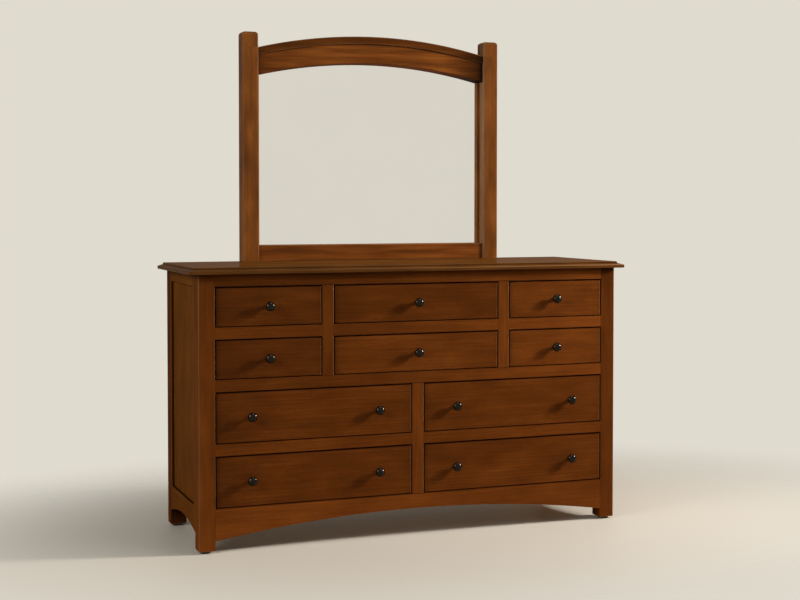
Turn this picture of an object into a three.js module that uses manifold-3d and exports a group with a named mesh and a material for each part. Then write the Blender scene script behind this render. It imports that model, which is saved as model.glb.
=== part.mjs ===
import * as THREE from "three";
import { mergeVertices } from "three/addons/utils/BufferGeometryUtils.js";
import Module from "manifold-3d";

// Stained wood dresser with ten inset drawers and a fixed, arched mirror on its top.
// Millimetres, +Z up, X to the viewer's right. The drawer fronts face -Y. The floor is Z = 0
// and X = 0 is the middle. Pieces are drawn with the front of the face frame at Y = 0, and the
// whole is then moved so that its origin lies under the middle of its depth.

// Fits
const joint_gap = 0.3;
const front_gap = 3;
const box_clearance = 3;
const runner_gap = 0.4;
const cut_overrun = 5;

// Case
const case_width = 1580;
const case_depth = 510;
const leg_width = 57;
const leg_depth = 57;
const glide_radius = 20;
const glide_height = 8;
const glide_segments = 24;

// Face frame and its five rows of rails, from the floor up
const frame_thickness = 22;
const bottom_row_height = 151;
const large_opening_height = 176.5;
const small_opening_height = 136.5;
const rail_height = 41;
const top_rail_height = 42;
const stile_width = 42;
const centre_stile_width = 44;
const middle_opening_width = 626;
const apron_end_height = 41;
const apron_apex_height = 99;
const apron_steps = 32;
const tenon_length = 25;
const tenon_thickness = 10;
const tenon_shoulder = 6;

// Sides and back
const side_thickness = 20;
const side_stile_width = 24;
const panel_recess = 8;
const panel_thickness = 6;
const side_end_height = 62;
const side_apex_height = 89;
const side_steps = 16;
const side_bottom_rise = 4;
const back_thickness = 8;
const back_rail_height = 60;
const back_rail_thickness = 18;

// Top
const top_thickness = 23;
const top_side_overhang = 34;
const top_front_overhang = 22;
const top_edge_height = 11.5;
const top_edge_ease = 2;
const top_bevel_width = 20;
const top_bevel_rise = 5.5;
const top_flat_ease = 2.5;
const top_corner_round = 10;
const top_corner_steps = 5;

// Dust boards and the guides on them
const board_thickness = 15;
const guide_height = 15;
const outer_guide_width = 20;

// Drawers
const drawer_travel = 350;
const front_thickness = 20;
const front_setback = 1;
const box_wall = 12;
const box_back_clearance = 12.7;
const small_box_headroom = 14;
const large_box_headroom = 12;
const bottom_thickness = 6;
const bottom_inset = 8;
const knob_inset = 125.5;

// Knob and its screw
const knob_radius = 16.5;
const knob_projection = 28;
const knob_rim_height = 19;
const knob_under_radius = 14;
const knob_under_height = 14;
const knob_neck_radius = 6.5;
const knob_neck_height = 9;
const knob_base_radius = 9.5;
const knob_base_height = 2;
const knob_segments = 20;
const screw_radius = 2;
const screw_clearance = 0.4;
const screw_head_radius = 4.5;
const screw_head_height = 2.5;
const hole_segments = 12;

// Mirror
const mirror_width = 1034;
const post_width = 61;
const post_depth = 61;
const post_height = 851;
const post_round = 12;
const post_round_steps = 6;
const post_tenon_width = 30;
const post_tenon_length = 15;
const rail_setback = 9;
const cap_setback = 5;
const cap_height = 28;
const top_rail_drop = 102;
const arch_rise = 56;
const arch_apex_height = 851;
const arch_steps = 36;
const bottom_rail_height = 60;
const lip_setback = 38;
const lip_thickness = 8;
const lip_width = 12;
const glass_thickness = 5;
const glass_overlap = 9;
const back_board_thickness = 9;
const rabbet_width = 10;
const back_board_inset = 8;
const batten_width = 60;
const batten_thickness = 18;
const batten_reach = 330;
const batten_rise = 560;
const batten_key = 2;

// Finishes
const case_wood = { color: 0x743a16, roughness: 0.34, metalness: 0 };
const front_wood = { color: 0x672c10, roughness: 0.32, metalness: 0 };
const inner_wood = { color: 0xc69a63, roughness: 0.6, metalness: 0 };
const mirror_silver = { color: 0xd8d6cc, roughness: 0.04, metalness: 1 };
const dark_bronze = { color: 0x1c1815, roughness: 0.3, metalness: 0.8 };

const wasm = await Module();
wasm.setup();

// A closed surface becomes a solid that can be joined and cut.
function solid(geometry) {
  const bare = geometry.clone();
  bare.deleteAttribute("normal");
  bare.deleteAttribute("uv");
  const merged = mergeVertices(bare);
  return new wasm.Manifold(new wasm.Mesh({
    numProp: 3,
    vertProperties: merged.attributes.position.array,
    triVerts: new Uint32Array(merged.index.array),
  }));
}

function surface(body) {
  const mesh = body.getMesh();
  const geometry = new THREE.BufferGeometry();
  geometry.setAttribute("position", new THREE.BufferAttribute(mesh.vertProperties, 3));
  geometry.setIndex(new THREE.BufferAttribute(mesh.triVerts, 1));
  geometry.computeVertexNormals();
  return geometry;
}

// A block between two corners, given as a range along each axis.
function block([x0, x1], [y0, y1], [z0, z1]) {
  const geometry = new THREE.BoxGeometry(x1 - x0, y1 - y0, z1 - z0);
  geometry.translate((x0 + x1) / 2, (y0 + y1) / 2, (z0 + z1) / 2);
  return solid(geometry);
}

// A front view outline, made into a board that starts at front_y.
function frontBoard(outline, front_y, thickness) {
  const geometry = new THREE.ExtrudeGeometry(new THREE.Shape(outline), {
    depth: thickness,
    bevelEnabled: false,
  });
  geometry.rotateX(Math.PI / 2);
  geometry.translate(0, front_y + thickness, 0);
  return solid(geometry);
}

// A side view outline of Y and Z, made into a board that starts at start_x.
function sideBoard(outline, start_x, thickness) {
  const geometry = new THREE.ExtrudeGeometry(new THREE.Shape(outline), {
    depth: thickness,
    bevelEnabled: false,
  });
  geometry.rotateX(Math.PI / 2);
  geometry.rotateZ(Math.PI / 2);
  geometry.translate(start_x, 0, 0);
  return solid(geometry);
}

// Points of a shallow arch from one end to the other, highest in the middle.
function arch(start, end, end_height, apex_height, steps) {
  const half = (end - start) / 2;
  const rise = apex_height - end_height;
  const radius = (half * half + rise * rise) / (2 * rise);
  const reach = Math.asin(half / radius);
  const points = [];
  for (let i = 0; i <= steps; i += 1) {
    const angle = reach * (2 * i / steps - 1);
    const along = start + half + radius * Math.sin(angle);
    points.push(new THREE.Vector2(along, apex_height - radius + radius * Math.cos(angle)));
  }
  return points;
}

function flip(body) {
  return body.mirror([1, 0, 0]);
}

const dresser = new THREE.Group();

function place(name, body, finish, parent = dresser) {
  const mesh = new THREE.Mesh(surface(body), new THREE.MeshStandardMaterial(finish));
  mesh.name = name;
  parent.add(mesh);
}

// Heights of the rows, worked out from the floor up
const half_case = case_width / 2;
const leg_inside = half_case - leg_width;
const bottom_floor = bottom_row_height;
const third_floor = bottom_floor + large_opening_height + rail_height;
const second_floor = third_floor + large_opening_height + rail_height;
const top_floor = second_floor + small_opening_height + rail_height;
const case_height = top_floor + small_opening_height + top_rail_height;

// Columns of openings, as X ranges
const half_middle = middle_opening_width / 2;
const half_centre_stile = centre_stile_width / 2;
const small_columns = {
  left: [-leg_inside, -half_middle - stile_width],
  middle: [-half_middle, half_middle],
  right: [half_middle + stile_width, leg_inside],
};
const large_columns = {
  left: [-leg_inside, -half_centre_stile],
  right: [half_centre_stile, leg_inside],
};
const small_row = { height: small_opening_height, headroom: small_box_headroom, columns: small_columns };
const large_row = { height: large_opening_height, headroom: large_box_headroom, columns: large_columns };
const rows = [
  { name: "top", floor: top_floor, ...small_row },
  { name: "second", floor: second_floor, ...small_row },
  { name: "third", floor: third_floor, ...large_row },
  { name: "bottom", floor: bottom_floor, ...large_row },
];

// The rails of the face frame, as Z ranges
const rail_spans = {
  face_top_rail: [case_height - top_rail_height, case_height],
  upper_face_rail: [top_floor - rail_height, top_floor],
  middle_face_rail: [second_floor - rail_height, second_floor],
  lower_face_rail: [third_floor - rail_height, third_floor],
};
const apron_tenon_span = [apron_end_height, bottom_floor];

// Tenons are centred in the thickness of the face frame.
const tenon_front = (frame_thickness - tenon_thickness) / 2;

function tenonHeight([low, high], gap) {
  return [low + tenon_shoulder - gap, high - tenon_shoulder + gap];
}

function mortise(span) {
  return block(
    [leg_inside - cut_overrun, leg_inside + tenon_length + joint_gap],
    [tenon_front - joint_gap, tenon_front + tenon_thickness + joint_gap],
    tenonHeight(span, joint_gap),
  );
}

// Both ends of a rail carry a tenon, which starts inside the rail.
function tenons(span) {
  const tenon = block(
    [leg_inside - cut_overrun, leg_inside + tenon_length],
    [tenon_front, tenon_front + tenon_thickness],
    tenonHeight(span, 0),
  );
  return tenon.add(flip(tenon));
}

// A square leg stands on a round glide.
function leg(front_y) {
  const post = block(
    [leg_inside, half_case],
    [front_y, front_y + leg_depth],
    [glide_height, case_height],
  );
  const pad = new THREE.CylinderGeometry(
    glide_radius, glide_radius, glide_height + cut_overrun, glide_segments,
  );
  pad.rotateX(Math.PI / 2);
  pad.translate(
    leg_inside + leg_width / 2, front_y + leg_depth / 2, (glide_height + cut_overrun) / 2,
  );
  return post.add(solid(pad));
}

let front_leg = leg(0);
for (const span of [...Object.values(rail_spans), apron_tenon_span]) {
  front_leg = front_leg.subtract(mortise(span));
}
const back_leg = leg(case_depth - leg_depth);
place("front_left_leg", flip(front_leg), case_wood);
place("front_right_leg", front_leg, case_wood);
place("back_left_leg", flip(back_leg), case_wood);
place("back_right_leg", back_leg, case_wood);

// Long rails run between the legs, and the short stiles are halved into the rail they cross.
const rail_end = leg_inside - joint_gap;

function laps(stile_ranges, span) {
  return stile_ranges.map(([x0, x1]) => block(
    [x0 - joint_gap, x1 + joint_gap],
    [-cut_overrun, frame_thickness / 2 + joint_gap],
    [span[0] - cut_overrun, span[1] + cut_overrun],
  ));
}

function faceRail(span, stile_ranges) {
  let rail = block([-rail_end, rail_end], [0, frame_thickness], span).add(tenons(span));
  for (const lap of laps(stile_ranges, span)) {
    rail = rail.subtract(lap);
  }
  return rail;
}

const short_stiles = {
  left_face_stile: [small_columns.left[1], small_columns.middle[0]],
  right_face_stile: [small_columns.middle[1], small_columns.right[0]],
};
const centre_stile = [large_columns.left[1], large_columns.right[0]];

place("face_top_rail", faceRail(rail_spans.face_top_rail, []), case_wood);
place(
  "upper_face_rail",
  faceRail(rail_spans.upper_face_rail, Object.values(short_stiles)),
  case_wood,
);
place("middle_face_rail", faceRail(rail_spans.middle_face_rail, []), case_wood);
place("lower_face_rail", faceRail(rail_spans.lower_face_rail, [centre_stile]), case_wood);

function faceStile([x0, x1], [low, high], crossing) {
  const stile = block([x0, x1], [0, frame_thickness], [low + joint_gap, high - joint_gap]);
  const behind = block(
    [x0 - cut_overrun, x1 + cut_overrun],
    [frame_thickness / 2, frame_thickness + cut_overrun],
    [crossing[0] - joint_gap, crossing[1] + joint_gap],
  );
  return stile.subtract(behind);
}

for (const [name, range] of Object.entries(short_stiles)) {
  const reach = [rail_spans.middle_face_rail[1], rail_spans.face_top_rail[0]];
  place(name, faceStile(range, reach, rail_spans.upper_face_rail), case_wood);
}
const lower_reach = [bottom_floor, rail_spans.middle_face_rail[0]];
place(
  "centre_face_stile",
  faceStile(centre_stile, lower_reach, rail_spans.lower_face_rail),
  case_wood,
);

const apron_outline = [
  ...arch(-rail_end, rail_end, apron_end_height, apron_apex_height, apron_steps),
  new THREE.Vector2(rail_end, bottom_floor),
  new THREE.Vector2(-rail_end, bottom_floor),
];
const apron_board = frontBoard(apron_outline, 0, frame_thickness);
place("front_apron", apron_board.add(tenons(apron_tenon_span)), case_wood);

// Each side is a frame with a thin panel set into it, and its lower edge is arched.
const side_inside = half_case - side_thickness;
const side_front = leg_depth + joint_gap;
const side_back = case_depth - leg_depth - joint_gap;
const side_outline = [
  ...arch(side_front, side_back, side_end_height, side_apex_height, side_steps),
  new THREE.Vector2(side_back, case_height),
  new THREE.Vector2(side_front, case_height),
];
const pocket_length = [side_front + side_stile_width, side_back - side_stile_width];
const pocket_height = [bottom_floor + side_bottom_rise, case_height - top_rail_height];
const outer_pocket = block(
  [half_case - panel_recess, half_case + cut_overrun],
  pocket_length,
  pocket_height,
);
const inner_pocket = block(
  [side_inside - cut_overrun, half_case - panel_recess - panel_thickness],
  pocket_length,
  pocket_height,
);
const side_panel = sideBoard(side_outline, side_inside, side_thickness)
  .subtract(outer_pocket)
  .subtract(inner_pocket);
place("left_side_panel", flip(side_panel), case_wood);
place("right_side_panel", side_panel, case_wood);

// The back is a thin board between the back legs, with a rail across its top.
const back_inside = case_depth - back_thickness;
const back_board = block([-rail_end, rail_end], [back_inside, case_depth], [
  bottom_floor - board_thickness,
  case_height,
]);
const back_rail = block(
  [-rail_end, rail_end],
  [back_inside - back_rail_thickness, back_inside + back_thickness / 2],
  [case_height - back_rail_height, case_height],
);
place("back_panel", back_board.add(back_rail), inner_wood);

// A closed surface through rings of points, from the lowest ring to the highest.
function loft(rings) {
  const count = rings[0].length;
  const points = rings.flat();
  const faces = [];
  for (let level = 0; level < rings.length - 1; level += 1) {
    for (let i = 0; i < count; i += 1) {
      const next = (i + 1) % count;
      const low = level * count;
      const high = low + count;
      faces.push(low + i, low + next, high + next);
      faces.push(low + i, high + next, high + i);
    }
  }
  const outline = rings[0].map((point) => new THREE.Vector2(point.x, point.y));
  const last = (rings.length - 1) * count;
  for (const [a, b, c] of THREE.ShapeUtils.triangulateShape(outline, [])) {
    faces.push(a, c, b);
    faces.push(last + a, last + b, last + c);
  }
  const geometry = new THREE.BufferGeometry().setFromPoints(points);
  geometry.setIndex(faces);
  return solid(geometry);
}

// The top's outline, drawn in from its front and ends, has rounded front corners.
const top_base = case_height + joint_gap;
const half_top = half_case + top_side_overhang;

function topRing(drawn_in, height) {
  const half = half_top - drawn_in;
  const front = drawn_in - top_front_overhang;
  const z = top_base + height;
  const ring = [new THREE.Vector3(half, case_depth, z), new THREE.Vector3(-half, case_depth, z)];
  for (const [side, first_angle] of [[-1, Math.PI], [1, 3 * Math.PI / 2]]) {
    for (let i = 0; i <= top_corner_steps; i += 1) {
      const angle = first_angle + Math.PI / 2 * i / top_corner_steps;
      ring.push(new THREE.Vector3(
        side * (half - top_corner_round) + top_corner_round * Math.cos(angle),
        front + top_corner_round + top_corner_round * Math.sin(angle),
        z,
      ));
    }
  }
  return ring;
}

// A thin edge with eased corners, a shallow bevel above it, and a step with an eased corner up to the flat.
const top_board = loft([
  topRing(top_edge_ease, 0),
  topRing(0, top_edge_ease),
  topRing(0, top_edge_height - top_edge_ease),
  topRing(top_edge_ease, top_edge_height),
  topRing(top_bevel_width, top_edge_height + top_bevel_rise),
  topRing(top_bevel_width, top_thickness - top_flat_ease),
  topRing(top_bevel_width + top_flat_ease, top_thickness),
]);

// The mirror stands on the top, with its back in line with the back of the case.
const top_surface = top_base + top_thickness;
const mirror_floor = top_surface + joint_gap;
const mirror_back = case_depth + joint_gap;
const post_front = mirror_back - post_depth;
const post_inside = mirror_width / 2 - post_width;
const post_middle = post_inside + post_width / 2;
const post_tenon_inset = (post_depth - post_tenon_width) / 2;

function postTenon(gap) {
  const half = post_tenon_width / 2 + gap;
  return block(
    [post_middle - half, post_middle + half],
    [post_front + post_tenon_inset - gap, mirror_back - post_tenon_inset + gap],
    [top_surface - post_tenon_length - gap, top_surface + cut_overrun],
  );
}

const post_mortise = postTenon(joint_gap);
place(
  "dresser_top",
  top_board.subtract(post_mortise).subtract(flip(post_mortise)),
  case_wood,
);

// Arches of the mirror share one curve, each at its own height above the mirror's floor.
function mirrorArch(half, drop) {
  const apex = mirror_floor + arch_apex_height - drop;
  const full = post_inside * post_inside;
  const rise = arch_rise * half * half / full;
  return arch(-half, half, apex - rise, apex, arch_steps);
}

function archedBoard(half, low, drop, front_y, thickness) {
  const outline = [
    new THREE.Vector2(-half, low),
    new THREE.Vector2(half, low),
    ...mirrorArch(half, drop).reverse(),
  ];
  return frontBoard(outline, front_y, thickness);
}

// A post is rounded over at its top on all four sides.
function pillowPost() {
  const crown = mirror_floor + post_height;
  const outline = (start, end) => {
    const shape = new THREE.Path();
    shape.moveTo(start, mirror_floor);
    shape.lineTo(end, mirror_floor);
    shape.absarc(end - post_round, crown - post_round, post_round, 0, Math.PI / 2);
    shape.absarc(start + post_round, crown - post_round, post_round, Math.PI / 2, Math.PI);
    return shape.getPoints(post_round_steps);
  };
  const across = frontBoard(
    outline(post_inside, post_inside + post_width), post_front, post_depth,
  );
  const along = sideBoard(outline(post_front, mirror_back), post_inside, post_width);
  return across.intersect(along);
}

const rail_front = post_front + rail_setback;
const lip_front = post_front + lip_setback;
const glass_front = lip_front + lip_thickness;
const bottom_rail_span = [mirror_floor, mirror_floor + bottom_rail_height];
const rail_depth = glass_front - rail_front;
const mirror_rail_end = post_inside - joint_gap;
const arch_end_height = mirror_floor + arch_apex_height - arch_rise;
const top_rail_span = [arch_end_height - top_rail_drop, arch_end_height - cap_height];

// Rails are tenoned into the posts, in the middle of the rails' depth.
const mirror_tenon_front = rail_front + (rail_depth - tenon_thickness) / 2;

function mirrorTenon(span, gap) {
  return block(
    [post_inside - cut_overrun, post_inside + tenon_length + gap],
    [mirror_tenon_front - gap, mirror_tenon_front + tenon_thickness + gap],
    tenonHeight(span, gap),
  );
}

// Inside the frame, a lip on the post holds the glass, and a rabbet behind it the back board.
const lip = block(
  [post_inside - lip_width, post_inside + lip_thickness],
  [lip_front, glass_front],
  [bottom_rail_span[1] + joint_gap, top_rail_span[0] - joint_gap],
);
const rabbet = block(
  [post_inside - cut_overrun, post_inside + rabbet_width],
  [glass_front, mirror_back + cut_overrun],
  [mirror_floor - cut_overrun, arch_end_height + joint_gap],
);
const mirror_post = pillowPost()
  .subtract(rabbet)
  .subtract(mirrorTenon(top_rail_span, joint_gap))
  .subtract(mirrorTenon(bottom_rail_span, joint_gap))
  .add(postTenon(0))
  .add(lip);
place("mirror_left_post", flip(mirror_post), case_wood);
place("mirror_right_post", mirror_post, case_wood);

// The top rail is arched above and below, and a cap along its upper edge stands forward.
function archedRail(top_drop, low_drop, front_y, thickness) {
  const outline = [
    ...mirrorArch(mirror_rail_end, low_drop),
    ...mirrorArch(mirror_rail_end, top_drop).reverse(),
  ];
  return frontBoard(outline, front_y, thickness);
}

const cap_front = post_front + cap_setback;
const top_tenon = mirrorTenon(top_rail_span, 0);
const mirror_top_rail = archedRail(0, top_rail_drop, rail_front, rail_depth)
  .add(archedRail(0, cap_height, cap_front, glass_front - cap_front))
  .add(top_tenon)
  .add(flip(top_tenon));
place("mirror_top_rail", mirror_top_rail, case_wood);

const bottom_tenon = mirrorTenon(bottom_rail_span, 0);
const mirror_bottom_rail = block(
  [-mirror_rail_end, mirror_rail_end],
  [rail_front, glass_front],
  bottom_rail_span,
).add(bottom_tenon).add(flip(bottom_tenon));
place("mirror_bottom_rail", mirror_bottom_rail, case_wood);

// The glass lies behind the lips and the rails.
const glass_back = glass_front + joint_gap + glass_thickness;
const glass_half = post_inside - lip_width + glass_overlap;
place("mirror_glass", archedBoard(
  glass_half,
  bottom_rail_span[1] - glass_overlap,
  top_rail_drop - glass_overlap,
  glass_front + joint_gap,
  glass_thickness,
), mirror_silver);

// The back board carries two battens that reach down behind the case and hold the mirror up.
const board_half = post_inside + rabbet_width - joint_gap;
const back_board_front = mirror_back - back_board_thickness;
const batten_outside = board_half - back_board_inset;
const batten_sides = [batten_outside - batten_width, batten_outside];
const batten = block(
  batten_sides,
  [mirror_back, mirror_back + batten_thickness],
  [top_surface - batten_reach, top_surface + batten_rise],
).add(block(
  batten_sides,
  [mirror_back - batten_key, mirror_back + batten_thickness / 2],
  [mirror_floor, top_surface + batten_rise],
));
const mirror_back_board = archedBoard(
  board_half, mirror_floor, back_board_inset, back_board_front, back_board_thickness,
).add(batten).add(flip(batten));
place("mirror_back_board", mirror_back_board, inner_wood);

// A dust board lies behind each rail, and its guides keep the drawers of its row apart.
const board_front = frame_thickness + joint_gap;
const board_back = back_inside - joint_gap;
const board_end = side_inside - joint_gap;

function dustBoard(floor, columns) {
  const ends = [-board_end, board_end];
  let board = block(ends, [board_front, board_back], [floor - board_thickness, floor]);
  const ranges = Object.values(columns);
  const guides = [
    [ranges[0][0] - outer_guide_width, ranges[0][0]],
    [ranges[ranges.length - 1][1], ranges[ranges.length - 1][1] + outer_guide_width],
  ];
  for (let i = 1; i < ranges.length; i += 1) {
    guides.push([ranges[i - 1][1], ranges[i][0]]);
  }
  for (const guide of guides) {
    board = board.add(block(
      guide,
      [board_front, board_back],
      [floor - board_thickness / 2, floor + guide_height],
    ));
  }
  for (const corner_y of [[-cut_overrun, side_front], [side_back, case_depth + cut_overrun]]) {
    const corner = block(
      [leg_inside - joint_gap, half_case],
      corner_y,
      [floor - board_thickness - cut_overrun, floor + guide_height + cut_overrun],
    );
    board = board.subtract(corner).subtract(flip(corner));
  }
  return board;
}

for (const row of rows) {
  place(`${row.name}_row_dust_board`, dustBoard(row.floor, row.columns), inner_wood);
}

// A mushroom knob, turned about Y, with its screw through the drawer front.
const front_face = front_setback;
const front_back = front_face + front_thickness;
const box_front = front_back + joint_gap;
const box_back = back_inside - back_rail_thickness - box_back_clearance;
const screw_seat = box_front + box_wall + joint_gap;
const knob_seat = front_face - joint_gap;
const knob_dome_shares = [[0, 1], [0.38, 0.93], [0.68, 0.74], [0.89, 0.42], [1, 0]];

function knob() {
  const dome_height = knob_projection - knob_rim_height;
  const profile = knob_dome_shares.map(([out, forward]) => new THREE.Vector2(
    out * knob_radius,
    knob_seat - knob_rim_height - dome_height * forward,
  ));
  profile.push(
    new THREE.Vector2(knob_under_radius, knob_seat - knob_under_height),
    new THREE.Vector2(knob_neck_radius, knob_seat - knob_neck_height),
    new THREE.Vector2(knob_base_radius, knob_seat - knob_base_height),
    new THREE.Vector2(knob_base_radius, knob_seat),
    new THREE.Vector2(screw_radius, knob_seat),
    new THREE.Vector2(screw_radius, screw_seat),
    new THREE.Vector2(screw_head_radius, screw_seat),
    new THREE.Vector2(screw_head_radius, screw_seat + screw_head_height),
    new THREE.Vector2(0, screw_seat + screw_head_height),
  );
  return solid(new THREE.LatheGeometry(profile, knob_segments));
}

function screwHole(x, z) {
  const hole_radius = screw_radius + screw_clearance;
  const hole = new THREE.CylinderGeometry(
    hole_radius, hole_radius, screw_seat + cut_overrun, hole_segments,
  );
  hole.translate(x, (screw_seat + cut_overrun) / 2 - cut_overrun / 2, z);
  return solid(hole);
}

// A drawer is an open box with a thicker front fixed to it. It slides out towards -Y.
function drawer(row, column_name, [x0, x1]) {
  const name = `${row.name}_${column_name}_drawer`;
  const low = row.floor + front_gap;
  const high = row.floor + row.height - front_gap;
  const knob_height = (low + high) / 2;
  const middle = (x0 + x1) / 2;
  const wide = row.columns === large_columns;
  const knob_places = wide ? [x0 + knob_inset, x1 - knob_inset] : [middle];

  const box_x = [x0 + box_clearance, x1 - box_clearance];
  const box_y = [box_front, box_back];
  const box_z = [row.floor + runner_gap, row.floor + row.height - row.headroom];
  const tray_x = [box_x[0] + box_wall, box_x[1] - box_wall];
  const tray_y = [box_y[0] + box_wall, box_y[1] - box_wall];
  const bottom_z = box_z[0] + bottom_inset;
  let box = block(box_x, box_y, box_z)
    .subtract(block(tray_x, tray_y, [bottom_z + bottom_thickness, box_z[1] + cut_overrun]))
    .subtract(block(tray_x, tray_y, [box_z[0] - cut_overrun, bottom_z]));
  let front = block(
    [x0 + front_gap, x1 - front_gap],
    [front_face, front_back],
    [low, high],
  );
  for (const x of knob_places) {
    const hole = screwHole(x, knob_height);
    front = front.subtract(hole);
    box = box.subtract(hole);
  }
  const group = new THREE.Group();
  place(`${name}_front`, front, front_wood, group);
  place(`${name}_box`, box, inner_wood, group);
  knob_places.forEach((x, i) => {
    const suffix = wide ? `${["left", "right"][i]}_knob` : "knob";
    place(`${name}_${suffix}`, knob().translate([x, 0, knob_height]), dark_bronze, group);
  });
  return group;
}

for (const row of rows) {
  for (const [column_name, range] of Object.entries(row.columns)) {
    dresser.add(drawer(row, column_name, range));
  }
}

// The knobs reach furthest forward, and the battens furthest back.
const knobs_reach = knob_seat - knob_projection;
const battens_reach = mirror_back + batten_thickness;
dresser.position.y = -(knobs_reach + battens_reach) / 2;

export default dresser;
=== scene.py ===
"""A stained wood dresser with a fixed arched mirror: its boards, its finishes and its stage."""

import math
import random

import bmesh
import bpy
from bpy.props import FloatProperty, FloatVectorProperty, PointerProperty
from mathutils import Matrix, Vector


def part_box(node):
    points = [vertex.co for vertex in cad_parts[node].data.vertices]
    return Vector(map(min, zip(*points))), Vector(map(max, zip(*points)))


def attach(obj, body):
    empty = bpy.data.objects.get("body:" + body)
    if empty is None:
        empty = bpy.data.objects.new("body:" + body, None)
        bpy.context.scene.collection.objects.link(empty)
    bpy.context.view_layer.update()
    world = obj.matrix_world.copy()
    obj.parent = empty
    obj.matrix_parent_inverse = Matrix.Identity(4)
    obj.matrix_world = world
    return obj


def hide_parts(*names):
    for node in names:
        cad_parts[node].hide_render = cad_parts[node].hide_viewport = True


bl_info = {
    "name": "Dresser with Mirror",
    "version": (1, 0, 0),
    "blender": (4, 5, 0),
    "location": "3D View > Sidebar > Dresser",
    "description": "Builds the boards, finishes and stage of a stained wood dresser with a mirror",
    "category": "Object",
}

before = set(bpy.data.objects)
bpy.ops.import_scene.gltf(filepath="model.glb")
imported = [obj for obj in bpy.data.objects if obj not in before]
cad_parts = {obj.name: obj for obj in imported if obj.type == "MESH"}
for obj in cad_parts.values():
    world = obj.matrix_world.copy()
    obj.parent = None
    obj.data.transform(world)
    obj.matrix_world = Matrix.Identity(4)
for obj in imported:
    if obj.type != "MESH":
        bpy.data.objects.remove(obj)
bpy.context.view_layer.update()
MM = 0.001
CASE = "case_and_mirror"
WAYS = {"left": -1, "right": 1}
ROWS = {
    "top": ("left", "middle", "right"),
    "second": ("left", "middle", "right"),
    "third": ("left", "right"),
    "bottom": ("left", "right"),
}
DRAWERS = [f"{row}_{column}_drawer" for row, columns in ROWS.items() for column in columns]
KNOBS = sorted(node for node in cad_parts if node.endswith("_knob"))

# How finely curves are drawn
ROUND_STEPS = 3
CURVE_STEPS = 64
TOP_CORNER_STEPS = 8
POST_TOP_STEPS = 8
GLIDE_SIDES = 40
KNOB_SIDES = 48

# Sizes of the solids that their boxes don't give, in metres
APRON_APEX = 0.099
SIDE_APEX = 0.089
SIDE_STILE = 0.024
PANEL_RECESS = 0.008
PANEL_THICKNESS = 0.006
PANEL_FLOOR = 0.155
PANEL_TOP = 0.900
PANEL_PLANKS = 3
TOP_EDGE = 0.0115
TOP_BEVEL = 0.020
TOP_BEVEL_RISE = 0.0055
TOP_CORNER = 0.010
TOP_STEP = 0.0025
BACK_THICKNESS = 0.008
BACK_RAIL_THICKNESS = 0.018
BACK_RAIL_HEIGHT = 0.060
BOARD_THICKNESS = 0.015
DUST_BOARD_PLANKS = 4
BOX_WALL = 0.012
BOX_BOTTOM = 0.006
BOX_INSET = 0.008
FRONT_GAP = 0.003
GLIDE_HEIGHT = 0.008
GLIDE_RADIUS = 0.020
MIRROR_FLOOR = 0.9656
ARCH_APEX = 0.851
ARCH_RISE = 0.056
ARCH_HALF = 0.456
CAP_HEIGHT = 0.028
TOP_RAIL_DROP = 0.102
GLASS_DROP = 0.093
BACK_DROP = 0.008
POST_TOP_ROUND = 0.012
RABBET = 0.010
RABBET_DEPTH = 0.015
LIP_WIDTH = 0.012
LIP_REACH = 0.0083
MIRROR_BACK_THICKNESS = 0.009

# The gap at a glued joint, and the roundings that aren't among the settings
JOINT_GAP = 0.0003
SHARP = 0.00005
FINE_EASE = 0.0005
PLANK_EASE = 0.0006
BOARD_EASE = 0.001
LEG_EASE = 0.0014
LEG_FOOT_EASE = 0.003
WALL_EASE = 0.0015
WALL_END_EASE = 0.0008
LIP_EASE = 0.0018
CAP_EASES = (0.002, 0.0035, 0.002)
BATTEN_EASE = 0.003
BATTEN_INSET = 0.008
BATTEN_WIDTH = 0.060
BATTEN_RISE = 0.560 - JOINT_GAP

# A knob's (radius, height, wear) from the middle of its face down to the drawer front, in millimetres
KNOB_PROFILE = [
    (0.3, 0.0, 0), (4.0, 0.25, 0), (8.0, 1.3, 0), (11.6, 3.2, 0), (14.3, 5.8, 0), (15.9, 8.4, 1),
    (16.5, 10.6, 1), (16.4, 11.9, 1), (15.7, 13.0, 0), (14.2, 14.0, 0), (11.2, 15.2, 0), (8.4, 16.6, 0),
    (6.9, 18.4, 0), (6.5, 20.4, 0), (6.8, 22.6, 0), (7.6, 24.4, 0), (8.9, 25.6, 0), (9.5, 26.2, 1),
    (9.5, 28.0, 0), (2.2, 28.0, 0)]

# Dovetail pins and the heads of screws
PIN_PITCH = 0.028
PIN_DEPTH = 0.0008
PIN_THICKNESS = 0.001
KNOB_SCREW_RADIUS = 0.0045
KNOB_SCREW_HEIGHT = 0.0016
BACK_SCREW_RADIUS = 0.004
BACK_SCREW_HEIGHT = 0.0014
BACK_SCREW_EDGE = 0.012
BACK_SCREW_FOOT = 0.008
BACK_SCREW_ENDS = 0.03
BACK_SCREW_SIDES = 0.1
BATTEN_SCREWS = (0.66, 0.76, 0.86, 0.925, 1.0, 1.09, 1.28, 1.46)
BATTEN_SCREW_OFFSET = 0.015
BATTEN_CLEARANCE = 0.04

# How far along the tree and off its middle a board may be sawn, and how much boards differ in tone
TREE_REACH = 3
HEART_OFFSETS = ((0.03, 0.16), (0.02, 0.12))
TONE_SPREAD = (0.95, 1.05)
PANEL_TONES = (0.95, 1.04)
# Tones of whole parts, partly their boards' own and partly painted light, set to how bright the light makes
# each part: the sides' back stiles are darker with painted shade, the left post is painted brighter, the
# apron is lifted by painted light from the floor, the lips by painted light off the glass, and the cap is
# painted darker.
SIDE_STILE_TONES = (1.02, 0.96)
POST_TONES = {"left": 1.1, "right": 1.0}
SHADES = {"apron": 1.4, "side": 1.3, "top": 1.1, "post": 1.25, "lip": 2.1, "bottom rail": 1.2,
          "top rail": 1.42, "cap": 0.8}
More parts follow.
